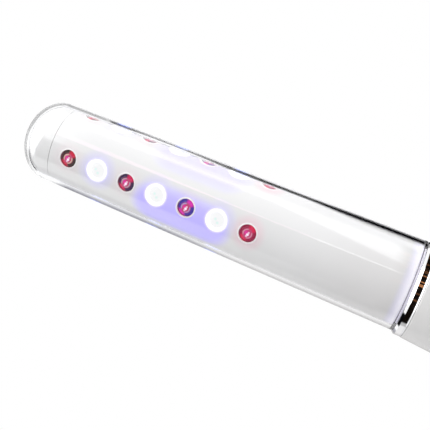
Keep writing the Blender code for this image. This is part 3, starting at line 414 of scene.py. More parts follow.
def along_skin(nodes, x, y, height, shift=0.0):
    """Distance round the drum's skin from the nearest lamp row, shifted by an angle."""
    angle = nodes.math('ADD', nodes.math('ARCTAN2', y, x), shift)
    folded = nodes.math('WRAP', angle, math.pi / ROW_COUNT, -math.pi / ROW_COUNT)
    return nodes.math('MULTIPLY', folded, drum_radius(height))


def to_lamps(nodes, x, y, z, height, pitch):
    """Distance along the drum's skin to the nearest of the lamps at a height and pitch."""
    step = nodes.math('WRAP', nodes.math('SUBTRACT', z, height), pitch / 2, -pitch / 2)
    across = along_skin(nodes, x, y, height)
    return nodes.math('SQRT', nodes.math(
        'ADD', nodes.math('MULTIPLY', step, step), nodes.math('MULTIPLY', across, across)
    ))


def drum_white(heights):
    """White plastic with lamp light painted into its colour and glow: a violet glow round the blue lamps,
    a faint pink one round the red lamps and a pale one on the neck. It is also painted darker towards the
    handle on the side facing down in the camera's view."""
    material, nodes, shader = new_material("drum_white")
    vector, x, y, z = nodes.place()
    pitch = 2 * (heights[0] - heights[1])
    to_blue = to_lamps(nodes, x, y, z, heights[1], pitch)
    to_red = to_lamps(nodes, x, y, z, heights[0], pitch)
    lit = nodes.band(z, heights[6] + 0.002, heights[0] + 0.001, 0.0005)

    # Painted glow: a violet pool of lamp light beside the blue lamps, and a fainter ring round each blue
    # lamp
    aside = along_skin(nodes, x, y, heights[3], POOL_SHIFT)
    middle = (heights[3] + heights[5]) / 2 + POOL_RISE
    ahead = nodes.math('ABSOLUTE', nodes.math('SUBTRACT', z, middle))
    ahead = nodes.math('MAXIMUM', nodes.math('SUBTRACT', ahead, POOL_HALF_LENGTH), 0.0)
    painted_pool = nodes.math('SQRT', nodes.math(
        'ADD', nodes.math('MULTIPLY', aside, aside), nodes.math('MULTIPLY', ahead, ahead)
    ))
    painted_pool = nodes.rise(painted_pool, 0.0036, 0.0086, 1.0, 0.0)
    weak = nodes.math('MULTIPLY', nodes.rise(to_blue, 0.0036, 0.0072, 0.32, 0.0), lit)
    painted_halo = nodes.math('MAXIMUM', painted_pool, weak)
    # Painted flare: white glow close round each blue lamp
    painted_flare = nodes.math('MULTIPLY', nodes.rise(to_blue, 0.0028, 0.0041, 1.0, 0.0), lit)
    # Painted pink glow round the red lamps, fading towards the handle
    painted_red_glow = nodes.math('MULTIPLY', nodes.rise(to_red, 0.0030, 0.0062, 1.0, 0.0),
                       nodes.rise(z, heights[6], heights[4], 1.0, 0.3))
    painted_red_glow = nodes.math('MULTIPLY', painted_red_glow, nodes.rise(z, heights[6] - 0.0070, heights[6] - 0.0060))
    # Painted pale glow on the neck
    neck = nodes.rise(z, SHOULDER + 0.0012, SHOULDER + 0.0044, 1.0, 0.0)
    _, _, up = camera_axes()
    topward = nodes.math('ADD', nodes.math('MULTIPLY', x, up.x), nodes.math('MULTIPLY', y, up.y))
    # Painted shade: darker towards the handle on the side facing down in the camera's view
    painted_shade = nodes.math('MULTIPLY', nodes.rise(z, SHOULDER + 0.0060, SHOULDER + 0.0380, 1.0, 0.0),
                      nodes.rise(topward, 0.0035, 0.0095, 1.0, 0.0))
    # The painted violet glow is weaker on the side facing up in the camera's view
    painted_halo = nodes.math('MULTIPLY', painted_halo, nodes.rise(topward, 0.0010, 0.0075, 1.0, 0.45))

    cloud = nodes.noise(vector, 60.0, 2.0)
    white = nodes.mix(cloud, (0.84, 0.835, 0.832), (0.875, 0.87, 0.865))
    # Painted shade, then painted pink and violet glow, mixed into the base colour
    white = nodes.mix(painted_shade, white, (0.785, 0.772, 0.765))
    white = nodes.mix(nodes.math('MULTIPLY', painted_red_glow, 0.5), white, (0.92, 0.62, 0.70))
    nodes.feed(shader.inputs["Base Color"], nodes.mix(painted_halo, white, (0.64, 0.58, 0.93)))
    # Painted glow as emission: white at the blue lamps, pale violet on the neck, violet elsewhere
    glow = nodes.mix(painted_flare, nodes.mix(neck, (0.06, 0.03, 1.0), (0.80, 0.76, 1.0)), (1.0, 1.0, 1.0))
    nodes.feed(shader.inputs["Emission Color"], glow)
    strength = nodes.math('ADD', nodes.math('MULTIPLY', painted_halo, 0.30), nodes.math('MULTIPLY', painted_flare, 0.55))
    nodes.feed(shader.inputs["Emission Strength"],
               nodes.math('ADD', strength, nodes.math('MULTIPLY', neck, NECK_GLOW)))
    nodes.feed(shader.inputs["Roughness"], nodes.rise(cloud, 0.3, 0.7, 0.40, 0.48))
    shader.inputs["Specular IOR Level"].default_value = 0.2
    grain = nodes.noise(vector, 2500.0, 2.0)
    nodes.feed(shader.inputs["Normal"], nodes.bump(grain, 0.12, 0.00001))
    return material


def lens_parts(nodes):
    """A lens's own x and y, and the distance and angle of a spot from its axis."""
    _, x, y, _ = nodes.place()
    reach = nodes.math('SQRT', nodes.math(
        'ADD', nodes.math('MULTIPLY', x, x), nodes.math('MULTIPLY', y, y)
    ))
    return x, y, reach, nodes.math('ARCTAN2', y, x)


def spot(nodes, x, y, place, core, edge):
    """One inside a round spot on a lens, falling to zero from its core to its edge."""
    aside = nodes.math('SUBTRACT', x, place[0])
    above = nodes.math('SUBTRACT', y, place[1])
    reach = nodes.math('SQRT', nodes.math(
        'ADD', nodes.math('MULTIPLY', aside, aside), nodes.math('MULTIPLY', above, above)
    ))
    return nodes.rise(reach, core, edge, 1.0, 0.0)


def red_lens(name, ring_colour, flank_colour, arc_colour):
    """A lit red lamp: dark ring, crimson flanks, pale arcs of the cup, a pink die and painted white-lilac
    highlights.
    """
    material, nodes, shader = new_material(name)
    x, y, reach, angle = lens_parts(nodes)
    flank = nodes.math('COSINE', nodes.math(
        'MULTIPLY', nodes.math('SUBTRACT', angle, FLANK_ANGLE), 2.0
    ))
    flank = nodes.rise(flank, 0.0, 0.8)
    colour = nodes.mix(flank, ring_colour, flank_colour)
    inner = nodes.rise(reach, 0.00140, 0.00175, 1.0, 0.0)
    colour = nodes.mix(inner, colour, (0.62, 0.03, 0.16))
    arcs = nodes.band(reach, 0.00112, 0.00145, 0.00010)
    arcs = nodes.math('MULTIPLY', arcs, nodes.rise(flank, 0.2, 0.9, 1.0, 0.15))
    colour = nodes.mix(arcs, colour, arc_colour)
    die = spot(nodes, x, y, DIE_PLACE, 0.00035, 0.00085)
    colour = nodes.mix(die, colour, (0.88, 0.03, 0.36))
    # Painted highlights: white-lilac spots that also lift the lens's glow
    painted_highlight = 0.0
    for place, core, edge, weight in PAINTED_HIGHLIGHTS:
        highlight_spot = nodes.math('MULTIPLY', spot(nodes, x, y, place, core, edge), weight)
        painted_highlight = nodes.math('MAXIMUM', highlight_spot, painted_highlight)
    colour = nodes.mix(painted_highlight, colour, (1.0, 0.84, 1.0))
    nodes.feed(shader.inputs["Base Color"], nodes.mix(0.85, colour, (0.0, 0.0, 0.0)))
    nodes.feed(shader.inputs["Emission Color"], colour)
    lit = nodes.math('ADD', nodes.rise(reach, 0.0013, 0.0022, 0.72, 0.62),
                     nodes.math('MULTIPLY', painted_highlight, 0.25))
    nodes.feed(shader.inputs["Emission Strength"], lit)
    shader.inputs["Roughness"].default_value = 0.15
    shader.inputs["Specular IOR Level"].default_value = 0.1
    return material


def blue_lens():
    """A blue lamp at full light: white, with a violet edge and two faint green spots."""
    material, nodes, shader = new_material("blue_lens")
    x, y, reach, _ = lens_parts(nodes)
    colour = nodes.mix(nodes.rise(reach, 0.0021, 0.0026), (1.0, 1.0, 1.0), (0.90, 0.90, 1.0))
    for place in SPOT_PLACES:
        near = nodes.math('MULTIPLY', spot(nodes, x, y, place, 0.00015, 0.00060), 0.6)
        colour = nodes.mix(near, colour, (0.66, 0.98, 0.90))
    shader.inputs["Base Color"].default_value = (0.02, 0.02, 0.02, 1.0)
    nodes.feed(shader.inputs["Emission Color"], colour)
    nodes.feed(shader.inputs["Emission Strength"], nodes.rise(reach, 0.0020, 0.0026, 0.97, 1.05))
    shader.inputs["Roughness"].default_value = 0.2
    shader.inputs["Specular IOR Level"].default_value = 0.1
    return material


def painted_lamp_glow(name, colour, glow):
    """A surface with the light of a lamp beside it painted on as glow."""
    material = plain(name, colour, 0.4)
    shader = material.node_tree.nodes["Principled BSDF"]
    shader.inputs["Emission Color"].default_value = (*colour, 1.0)
    shader.inputs["Emission Strength"].default_value = glow
    return material


# Spots on a lens, in its own frame: its tip is at the origin and +X points to the handle
FLANK_ANGLE = math.radians(60)
DIE_PLACE = (-0.00038, 0.00020)
# Painted highlights: place, core and edge radii, and weight
PAINTED_HIGHLIGHTS = (
    ((0.00016, -0.00020), 0.00022, 0.00060, 1.0),
    ((0.00034, 0.00040), 0.00010, 0.00045, 0.75),
    ((-0.00012, -0.00075), 0.00010, 0.00045, 0.8),
)
SPOT_PLACES = ((0.00055, -0.00045), (-0.00035, 0.00045))

# The painted violet glow's centre lies this far round from the lamp rows, in radians, and this far up
POOL_SHIFT = 0.24
POOL_RISE = 0.0010
POOL_HALF_LENGTH = 0.0090
# Strength of the pale glow painted on the neck
NECK_GLOW = 0.32
# Strength of the blue glow painted on the tube's rim seen edge-on
EDGE_GLOW_PAINTED = 0.6


# Pieces


def make_tube(material):
    """The clear tube, with its domed end, thick shoulder and the neck that enters the ring."""
    outer = dome_curve(TUBE_RADIUS_AT_DOME, DOME_RISE)
    inner = dome_curve(TUBE_RADIUS_AT_DOME - TUBE_WALL, DOME_RISE - TUBE_WALL)
    inner.reverse()
    step = SHOULDER + NECK_SHOULDER
    foot = filleted([
        (TUBE_RADIUS_AT_DOME, DOME_CENTRE, 0),
        (tube_radius(SHOULDER), SHOULDER, 0.0002),
        (NECK_RADIUS, SHOULDER, 0.0001),
        (NECK_RADIUS, NECK_END, 0.0002),
        (NECK_RADIUS - NECK_WALL, NECK_END, 0.0002),
        (NECK_RADIUS - NECK_WALL, step, 0.0002),
        (tube_radius(step) - TUBE_WALL, step, 0.0002),
        (TUBE_RADIUS_AT_DOME - TUBE_WALL, DOME_CENTRE, 0),
    ], 6)
    outline = outer[:-1] + foot + inner[1:]
    tube = turned("tube_shell", outline, TUBE_SIDES, [material], smooth_angle=50)
    tube.visible_shadow = False
    tube.visible_diffuse = False
    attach(tube, "wand")
    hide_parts("clear_tube")
    return tube


def bezel_profile():
    inner = SOCKET_RADIUS - BEZEL_OVERLAP
    outer = SOCKET_RADIUS + BEZEL_WIDTH
    return filleted([
        (inner + BEZEL_WIDTH / 2, -BEZEL_ROOT, 0),
        (inner, -BEZEL_ROOT, 0.00005),
        (inner, BEZEL_HEIGHT, 0.00012),
        (outer - BEZEL_HEIGHT, BEZEL_HEIGHT, 0.00012),
        (outer, 0, 0.00006),
        (outer, -BEZEL_ROOT, 0.00005),
    ], 3)


def add_bezel(shape, row, height):
    """Adds the raised lip round a socket. It follows the drum's curve."""
    skin = drum_radius(height)
    place = along_row(row, 0, height)
    rings = []
    for step in range(BEZEL_STEPS):
        turn = 2 * math.pi * step / BEZEL_STEPS
        ring = []
        for reach, rise in bezel_profile():
            along = reach * math.cos(turn)
            across = reach * math.sin(turn)
            out = math.sqrt(skin ** 2 - across ** 2) + rise
            ring.append(shape.verts.new(place @ Vector((along, across, out))))
        rings.append(ring)
    for ring, after in zip(rings, rings[1:] + rings[:1]):
        for index in range(len(ring)):
            following = (index + 1) % len(ring)
            shape.faces.new((ring[index], ring[following], after[following], after[index]))


def make_drum(white, rims, walls, lamps):
    """The LED drum with real sockets, a raised lip round each, and its spigot."""
    step = SHOULDER + NECK_SHOULDER + SPIGOT_GAP
    spigot = NECK_RADIUS - NECK_WALL - SPIGOT_GAP
    outline = filleted([
        (drum_radius(SEAM) - DRUM_WALL, SEAM, 0),
        (drum_radius(SEAM), SEAM, SEAM_CHAMFER),
        (drum_radius(step), step, 0.0001),
        (spigot, step - 0.0005, 0.0002),
        (spigot, CARRIER_FOOT, 0.0003),
        (spigot - DRUM_WALL, CARRIER_FOOT, 0.0003),
        (spigot - DRUM_WALL, SHOULDER, 0.0004),
        (drum_radius(step) - DRUM_WALL, step + DRUM_WALL, 0.0004),
    ], 8)
    drum = turned("drum_shell", outline, DRUM_SIDES, [white, *walls.values()], closed=True)
    for number, colour in enumerate(walls, start=1):
        cutters = bmesh.new()
        for row, index, _, height, _ in lamps:
            if lamp_colour(index) != colour:
                continue
            depth = DRUM_WALL + 2 * OVERRUN
            place = along_row(row, drum_radius(height) - DRUM_WALL - OVERRUN, height)
            bmesh.ops.create_cone(
                cutters, cap_ends=True, segments=BEZEL_STEPS, radius1=SOCKET_RADIUS,
                radius2=SOCKET_RADIUS, depth=depth,
                matrix=place @ Matrix.Translation((0, 0, depth / 2)),
            )
        cutter = add_piece("socket_cutter", cutters, [walls[colour]])
        cut(drum, cutter)
    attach(drum, "wand")
    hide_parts("led_carrier")
    for colour, rim in rims.items():
        lips = bmesh.new()
        for row, index, _, height, _ in lamps:
            if lamp_colour(index) == colour:
                add_bezel(lips, row, height)
        lip = add_piece(f"{colour}_bezel_lips", lips, [rim], 60)
        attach(lip, "wand")


def make_cap(material):
    """The drum's domed end, parted from it by the seam."""
    low = SEAM + 0.00015
    radius = drum_radius(low)
    plug = radius - DRUM_WALL - SPIGOT_GAP
    inset = TUBE_WALL + DRUM_GAP
    dome = dome_curve(TUBE_RADIUS_AT_DOME - inset, DOME_RISE - inset)
    outline = dome + filleted([
        (dome[-1][0], dome[-1][1], 0),
        (radius, low, SEAM_CHAMFER),
        (plug, low, 0.0001),
        (plug, low - 0.0036, 0.0003),
        (0, low - 0.0036, 0),
    ])[1:]
    cap = turned("tip_cap_shell", outline, DRUM_SIDES, [material])
    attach(cap, "wand")
    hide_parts("carrier_tip_cap")


def lamp_shape(length, materials):
    """A lamp's mesh: flange, barrel and domed lens, with its tip at the origin."""
    shape = bmesh.new()
    flatness = LENS_HEIGHT / LED_RADIUS
    dome = [(radius, height * flatness - LENS_HEIGHT)
            for radius, height in arc(LED_RADIUS, 0, math.pi / 2, 0, 14)]
    dome[0] = (0, 0)
    body = filleted([
        (LED_RADIUS, -LENS_HEIGHT, 0),
        (LED_RADIUS, LED_FLANGE_HEIGHT - length, 0.00015),
        (LED_FLANGE_RADIUS, LED_FLANGE_HEIGHT - length, 0.00015),
        (LED_FLANGE_RADIUS, -length, 0.00015),
        (0, -length, 0),
    ])
    add_turned(shape, dome + body[1:], LED_STEPS)
    piece = add_piece("lamp_shape", shape, materials, 50)
    mesh = piece.data
    bpy.data.objects.remove(piece)
    return mesh


def make_lamps(lamps, red_lenses, blue):
    meshes = {}
    for row, index, node, height, tip in lamps:
        low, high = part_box(node)
        length = max(high.x - low.x, high.y - low.y)
        length = length if length > 2 * LED_FLANGE_RADIUS else 2 * LED_FLANGE_RADIUS
        if index not in meshes:
            material = blue if lamp_colour(index) == "blue" else red_lenses[index]
            meshes[index] = lamp_shape(length, [material])
        lamp = bpy.data.objects.new(node.replace("led", "lamp"), meshes[index])
        bpy.context.scene.collection.objects.link(lamp)
        lamp.matrix_world = along_row(row, tip, height)
        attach(lamp, "wand")
        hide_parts(node)


def make_ring(material):
    """The bright ring: a cone that flares to the handle, an upright wall and a fine bead."""
    top = RING_TOP + RING_RISE
    bottom = RING_FOOT - RING_DROP
    top_radius = TUBE_RADIUS_AT_RING + 0.00008
    wall_radius = HANDLE_TOP_RADIUS - 0.00012
    bore = NECK_RADIUS + 0.0003
    outline = filleted([
        (bore, top, 0),
        (top_radius, top, 0.00006),
        (wall_radius, top - RING_CONE, 0),
        (wall_radius, bottom + RING_BEAD, 0.00005),
        (wall_radius - 0.00014, bottom + RING_BEAD, 0.00003),
        (wall_radius + 0.00006, bottom + 0.00008, 0.00005),
        (wall_radius - 0.00005, bottom, 0.00003),
        (bore, bottom, 0),
    ], 4)
    ring = turned("bright_ring", outline, TUBE_SIDES, [material], closed=True, smooth_angle=25)
    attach(ring, "wand")
    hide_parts("chrome_ring")


def make_handle(material, shade):
    """The sleeve, with a rounded shoulder, and a flat landing and hole for each button."""
    heights = [
        HANDLE_TOP + (HANDLE_FOOT - HANDLE_TOP) * step / HANDLE_STEPS
        for step in range(1, HANDLE_STEPS)
    ]
    inner = NECK_RADIUS + 0.0003
    outline = filleted(
        [(inner, HANDLE_TOP, 0), (handle_radius(HANDLE_TOP), HANDLE_TOP, HANDLE_EDGE)]
        + [(handle_radius(height), height, 0) for height in heights]
        + [
            (handle_radius(HANDLE_FOOT), HANDLE_FOOT, 0.0003),
            (handle_radius(HANDLE_FOOT) - HANDLE_WALL, HANDLE_FOOT, 0.0002),
            (HANDLE_BELLY_RADIUS - HANDLE_WALL, HANDLE_BELLY_HEIGHT, 0),
            (handle_radius(HANDLE_TOP) - HANDLE_WALL, NECK_END - 0.0015, 0),
            (inner, NECK_END - 0.0015, 0),
        ], 6)
    sleeve = turned("handle_shell", outline, HANDLE_SIDES, [material, shade], closed=True)
    for node in ("power_button", "mode_button"):
        low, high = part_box(node)
        centre = (low + high) / 2
        landing = bmesh.new()
        seat = handle_radius(centre.z) - LANDING_DEPTH
        place = Matrix.Translation((0, -seat, centre.z)) @ Matrix.Rotation(math.pi / 2, 4, 'X')
        profile = filleted([
            (0, -0.0, 0),
            (LANDING_RADIUS - 0.0006, 0, 0.0009),
            (LANDING_RADIUS + 0.0006, LANDING_DEPTH, 0),
            (LANDING_RADIUS + 0.0026, LANDING_DEPTH + 0.003, 0),
            (0, LANDING_DEPTH + 0.003, 0),
        ], 8)
        add_turned(landing, profile, 96)
        bmesh.ops.transform(landing, matrix=place, verts=landing.verts)
        cut(sleeve, add_piece("landing_cutter", landing, [material]))
        hole = bmesh.new()
        profile = [(0, LANDING_DEPTH), (BUTTON_HOLE, LANDING_DEPTH), (BUTTON_HOLE, -0.004), (0, -0.004)]
        add_turned(hole, profile, 96)
        bmesh.ops.transform(hole, matrix=place, verts=hole.verts)
        cut(sleeve, add_piece("hole_cutter", hole, [shade]))
    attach(sleeve, "wand")
    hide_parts("handle_sleeve")


LANDING_DEPTH = 0.0013
LANDING_RADIUS = 0.0080
BUTTON_HOLE = 0.0052
BUTTON_RADIUS = 0.0049
BUTTON_DISH = 0.00035


def make_buttons(material):
    """Round buttons with a rounded edge and a finger dish in the crown."""
    for node in ("power_button", "mode_button"):
        low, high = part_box(node)
        centre = (low + high) / 2
        top = -low.y
        bottom = -high.y
        dish = [
            (BUTTON_RADIUS * 0.62 * step / 8, top - 0.00010 - BUTTON_DISH * (1 - (step / 8) ** 2))
            for step in range(9)
        ]
        profile = dish + filleted([
            (BUTTON_RADIUS * 0.62, top - 0.00010, 0),
            (BUTTON_RADIUS * 0.72, top, 0.0003),
            (BUTTON_RADIUS, top - 0.0004, 0.0006),
            (BUTTON_RADIUS, bottom + 0.0010, 0),
            (BUTTON_RADIUS + 0.0011, bottom + 0.0010, 0.0001),
            (BUTTON_RADIUS + 0.0011, bottom, 0.0001),
            (0, bottom, 0),
        ], 6)[1:]
        shape = bmesh.new()
        add_turned(shape, profile, 96)
        place = Matrix.Translation((0, 0, centre.z)) @ Matrix.Rotation(math.pi / 2, 4, 'X')
        bmesh.ops.transform(shape, matrix=place, verts=shape.verts)
        button = add_piece(node + "_cover", shape, [material], 35)
        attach(button, node)
        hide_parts(node)


def make_base(white, shade, rubber, steel, gold):
    """The end cap with its screw wells and contact holes, the seal, screws and contacts."""
    shoulder = SEAL_LOW - 0.0003
    side = HANDLE_FOOT_RADIUS
    base = 0.0130
    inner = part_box("end_cap")[1].z
    spigot = HANDLE_FOOT_RADIUS - HANDLE_WALL - 0.0003
    outline = filleted([
        (0, 0, 0),
        (base, 0, 0.0008),
        (side - 0.0003, 0.0025, 0.0014),
        (side, shoulder, 0.0003),
        (spigot, shoulder, 0.0001),
        (spigot, inner, 0.0003),
        (spigot - 0.0016, inner, 0.0003),
        (spigot - 0.0016, 0.003, 0.0003),
        (0, 0.003, 0),
    ], 6)
    cap = turned("base_cap", outline, HANDLE_SIDES, [white, shade])
    wells = [("end_cap_screw_1", 0.0023, 0.0019), ("end_cap_screw_2", 0.0023, 0.0019),
             ("charging_pin_1", 0.0015, 0.008), ("charging_pin_2", 0.0015, 0.008)]
    for node, radius, depth in wells:
        centre = centre_of(node)
        well = bmesh.new()
        profile = filleted([
            (0, -0.001, 0), (radius + 0.0014, -0.001, 0), (radius, 0.0004, 0.0004),
            (radius, depth, 0), (0, depth, 0),
        ], 5)
        add_turned(well, profile, 64)
        bmesh.ops.translate(well, vec=(centre.x, centre.y, 0), verts=well.verts)
        cut(cap, add_piece("well_cutter", well, [shade]))
    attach(cap, "wand")
    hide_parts("end_cap")

    seal = turned("base_seal", filleted([
        (side - 0.0024, SEAL_HIGH, 0), (side - 0.0002, SEAL_HIGH, 0.0003),
        (side - 0.0002, SEAL_LOW, 0.0003), (side - 0.0024, SEAL_LOW, 0),
    ]), HANDLE_SIDES, [rubber], closed=True)
    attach(seal, "wand")
    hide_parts("end_cap_seal")

    for node in ("end_cap_screw_1", "end_cap_screw_2"):
        make_screw(node, steel, shade)
    for node in ("charging_pin_1", "charging_pin_2"):
        low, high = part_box(node)
        centre = (low + high) / 2
        pin = bmesh.new()
        add_turned(pin, filleted([
            (0, low.z, 0), (0.0008, low.z, 0.0003), (0.0012, low.z + 0.0004, 0.0003),
            (0.0012, 0.0033, 0), (0.0020, 0.0033, 0.0001), (0.0020, 0.0043, 0.0001),
            (0.0012, 0.0043, 0), (0.0012, high.z, 0.0002), (0, high.z, 0),
        ], 5), 48)
        bmesh.ops.translate(pin, vec=(centre.x, centre.y, 0), verts=pin.verts)
        piece = add_piece(node + "_contact", pin, [gold])
        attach(piece, "wand")
        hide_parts(node)


RECESS_ARM = 0.00115
RECESS_HALF_WIDTH = 0.00025
RECESS_DEPTH = 0.0007
RECESS_TURN = math.pi / 8


def make_screw(node, steel, shade):
    """A pan screw with a cross recess, head down."""
    low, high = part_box(node)
    centre = (low + high) / 2
    shape = bmesh.new()
    profile = [(0, low.z)] + [
        (0.0017 * math.sin(math.pi / 2 * step / 6) if step else 0,
         low.z + 0.00035 * (1 - math.cos(math.pi / 2 * step / 6)))
        for step in range(1, 7)
    ]
    profile += filleted([
        (0.0017, low.z + 0.00035, 0), (0.0020, low.z + 0.0006, 0.0001), (0.0020, low.z + 0.0012, 0.0001),
        (0.0009, low.z + 0.0012, 0), (0.0009, high.z, 0.0002), (0, high.z, 0),
    ])
    add_turned(shape, profile, 48)
    screw = add_piece(node + "_head", shape, [steel, shade])
    recess = bmesh.new()
    long, short = RECESS_ARM, RECESS_HALF_WIDTH
    cross = [(long, -short), (long, short), (short, short)]
    cross = [(x * math.cos(turn) - y * math.sin(turn), x * math.sin(turn) + y * math.cos(turn))
             for turn in [RECESS_TURN + quarter * math.pi / 2 for quarter in range(4)]
             for x, y in cross]
    layers = [[recess.verts.new((x, y, low.z + level)) for x, y in cross]
              for level in (-RECESS_DEPTH, RECESS_DEPTH)]
    for layer in layers:
        recess.faces.new(layer)
    for index in range(len(cross)):
        after = (index + 1) % len(cross)
        recess.faces.new([layers[0][index], layers[0][after], layers[1][after], layers[1][index]])
    cut(screw, add_piece("recess_cutter", recess, [shade]))
    screw.data.transform(Matrix.Translation((centre.x, centre.y, 0)))
    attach(screw, "wand")
    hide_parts(node)


def finish_inner_nodes():
    """Finishes of the pieces that the housing hides."""
    finishes = {
        "led_flex_board": plain("white_board", (0.82, 0.82, 0.79), 0.45),
        "board_mast": plain("satin_aluminium", (0.72, 0.73, 0.74), 0.35, metallic=1.0),
        "motor_cradle": plain("moulded_grey", (0.70, 0.70, 0.70), 0.5),
        "vibration_motor": plain("drawn_steel", (0.60, 0.60, 0.61), 0.28, metallic=1.0),
        "eccentric_weight": plain("turned_brass", (0.75, 0.58, 0.25), 0.3, metallic=1.0),
        "neck_gasket": plain("grey_silicone", (0.52, 0.53, 0.55), 0.6),
        "power_switch": plain("switch_black", (0.03, 0.03, 0.035), 0.45),
        "main_board": plain("green_board", (0.03, 0.22, 0.10), 0.4),
        "battery": plain("cell_wrap", (0.08, 0.22, 0.50), 0.35),
        "head_harness": plain("red_cable", (0.55, 0.05, 0.04), 0.5),
    }
    same = {
        "motor_shaft": "vibration_motor", "board_screw_1": "vibration_motor",
        "board_screw_2": "vibration_motor", "button_membrane": "neck_gasket",
        "mode_switch": "power_switch", "charge_board": "main_board",
        "inner_frame": "motor_cradle", "battery_cable": "head_harness",
        "charge_cable": "head_harness",
    }
    for node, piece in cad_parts.items():
        material = finishes.get(node) or finishes.get(same.get(node))
        if material:
            piece.data.materials.clear()
            piece.data.materials.append(material)


# Studio


def camera_axes():
    """The wand's axis towards the handle, the way to the camera, and the way up in the picture."""
    around = math.radians(CAMERA_AROUND)
    return (
        Vector((0, 0, -1)),
        Vector((math.cos(around), math.sin(around), 0)),
        Vector((-math.sin(around), math.cos(around), 0)),
    )


def make_camera():
    along, towards, up = camera_axes()
    yaw = math.radians(CAMERA_YAW)
    pitch = math.radians(CAMERA_PITCH)
    roll = math.radians(CAMERA_ROLL)
    forward = along * math.sin(yaw) * math.cos(pitch) - towards * math.cos(yaw) * math.cos(pitch)
    forward = (forward + up * math.sin(pitch)).normalized()
    right = (along - forward * along.dot(forward)).normalized()
    down = forward.cross(right)
    rolled_right = right * math.cos(roll) - down * math.sin(roll)
    rolled_down = down * math.cos(roll) + right * math.sin(roll)
    lamp = centre_of("led_red_1_1")
    data = bpy.data.cameras.new("camera")
    data.lens = CAMERA_LENS
    data.sensor_width = CAMERA_SENSOR
    data.clip_start = 0.01
    data.clip_end = 20
    camera = bpy.data.objects.new("camera", data)
    bpy.context.scene.collection.objects.link(camera)
    turn = Matrix((rolled_right, -rolled_down, -forward)).transposed().to_4x4()
    place = towards * CAMERA_DISTANCE + Vector((0, 0, lamp.z - CAMERA_BELOW_TIP_LED))
    camera.matrix_world = Matrix.Translation(place) @ turn
    bpy.context.scene.camera = camera


def make_floor():
    shape = bmesh.new()
    outline = filleted([
        (0, 0, 0), (FLOOR_RADIUS, 0, 0.002), (FLOOR_RADIUS, -FLOOR_THICKNESS, 0),
        (0, -FLOOR_THICKNESS, 0),
    ])
    add_turned(shape, outline, 128)
    material = plain("pale_floor", (0.64, 0.64, 0.65), 0.6, grain=80.0, spread=0.02)
    floor = add_piece("floor", shape, [material])
    floor.location.z = -0.0002


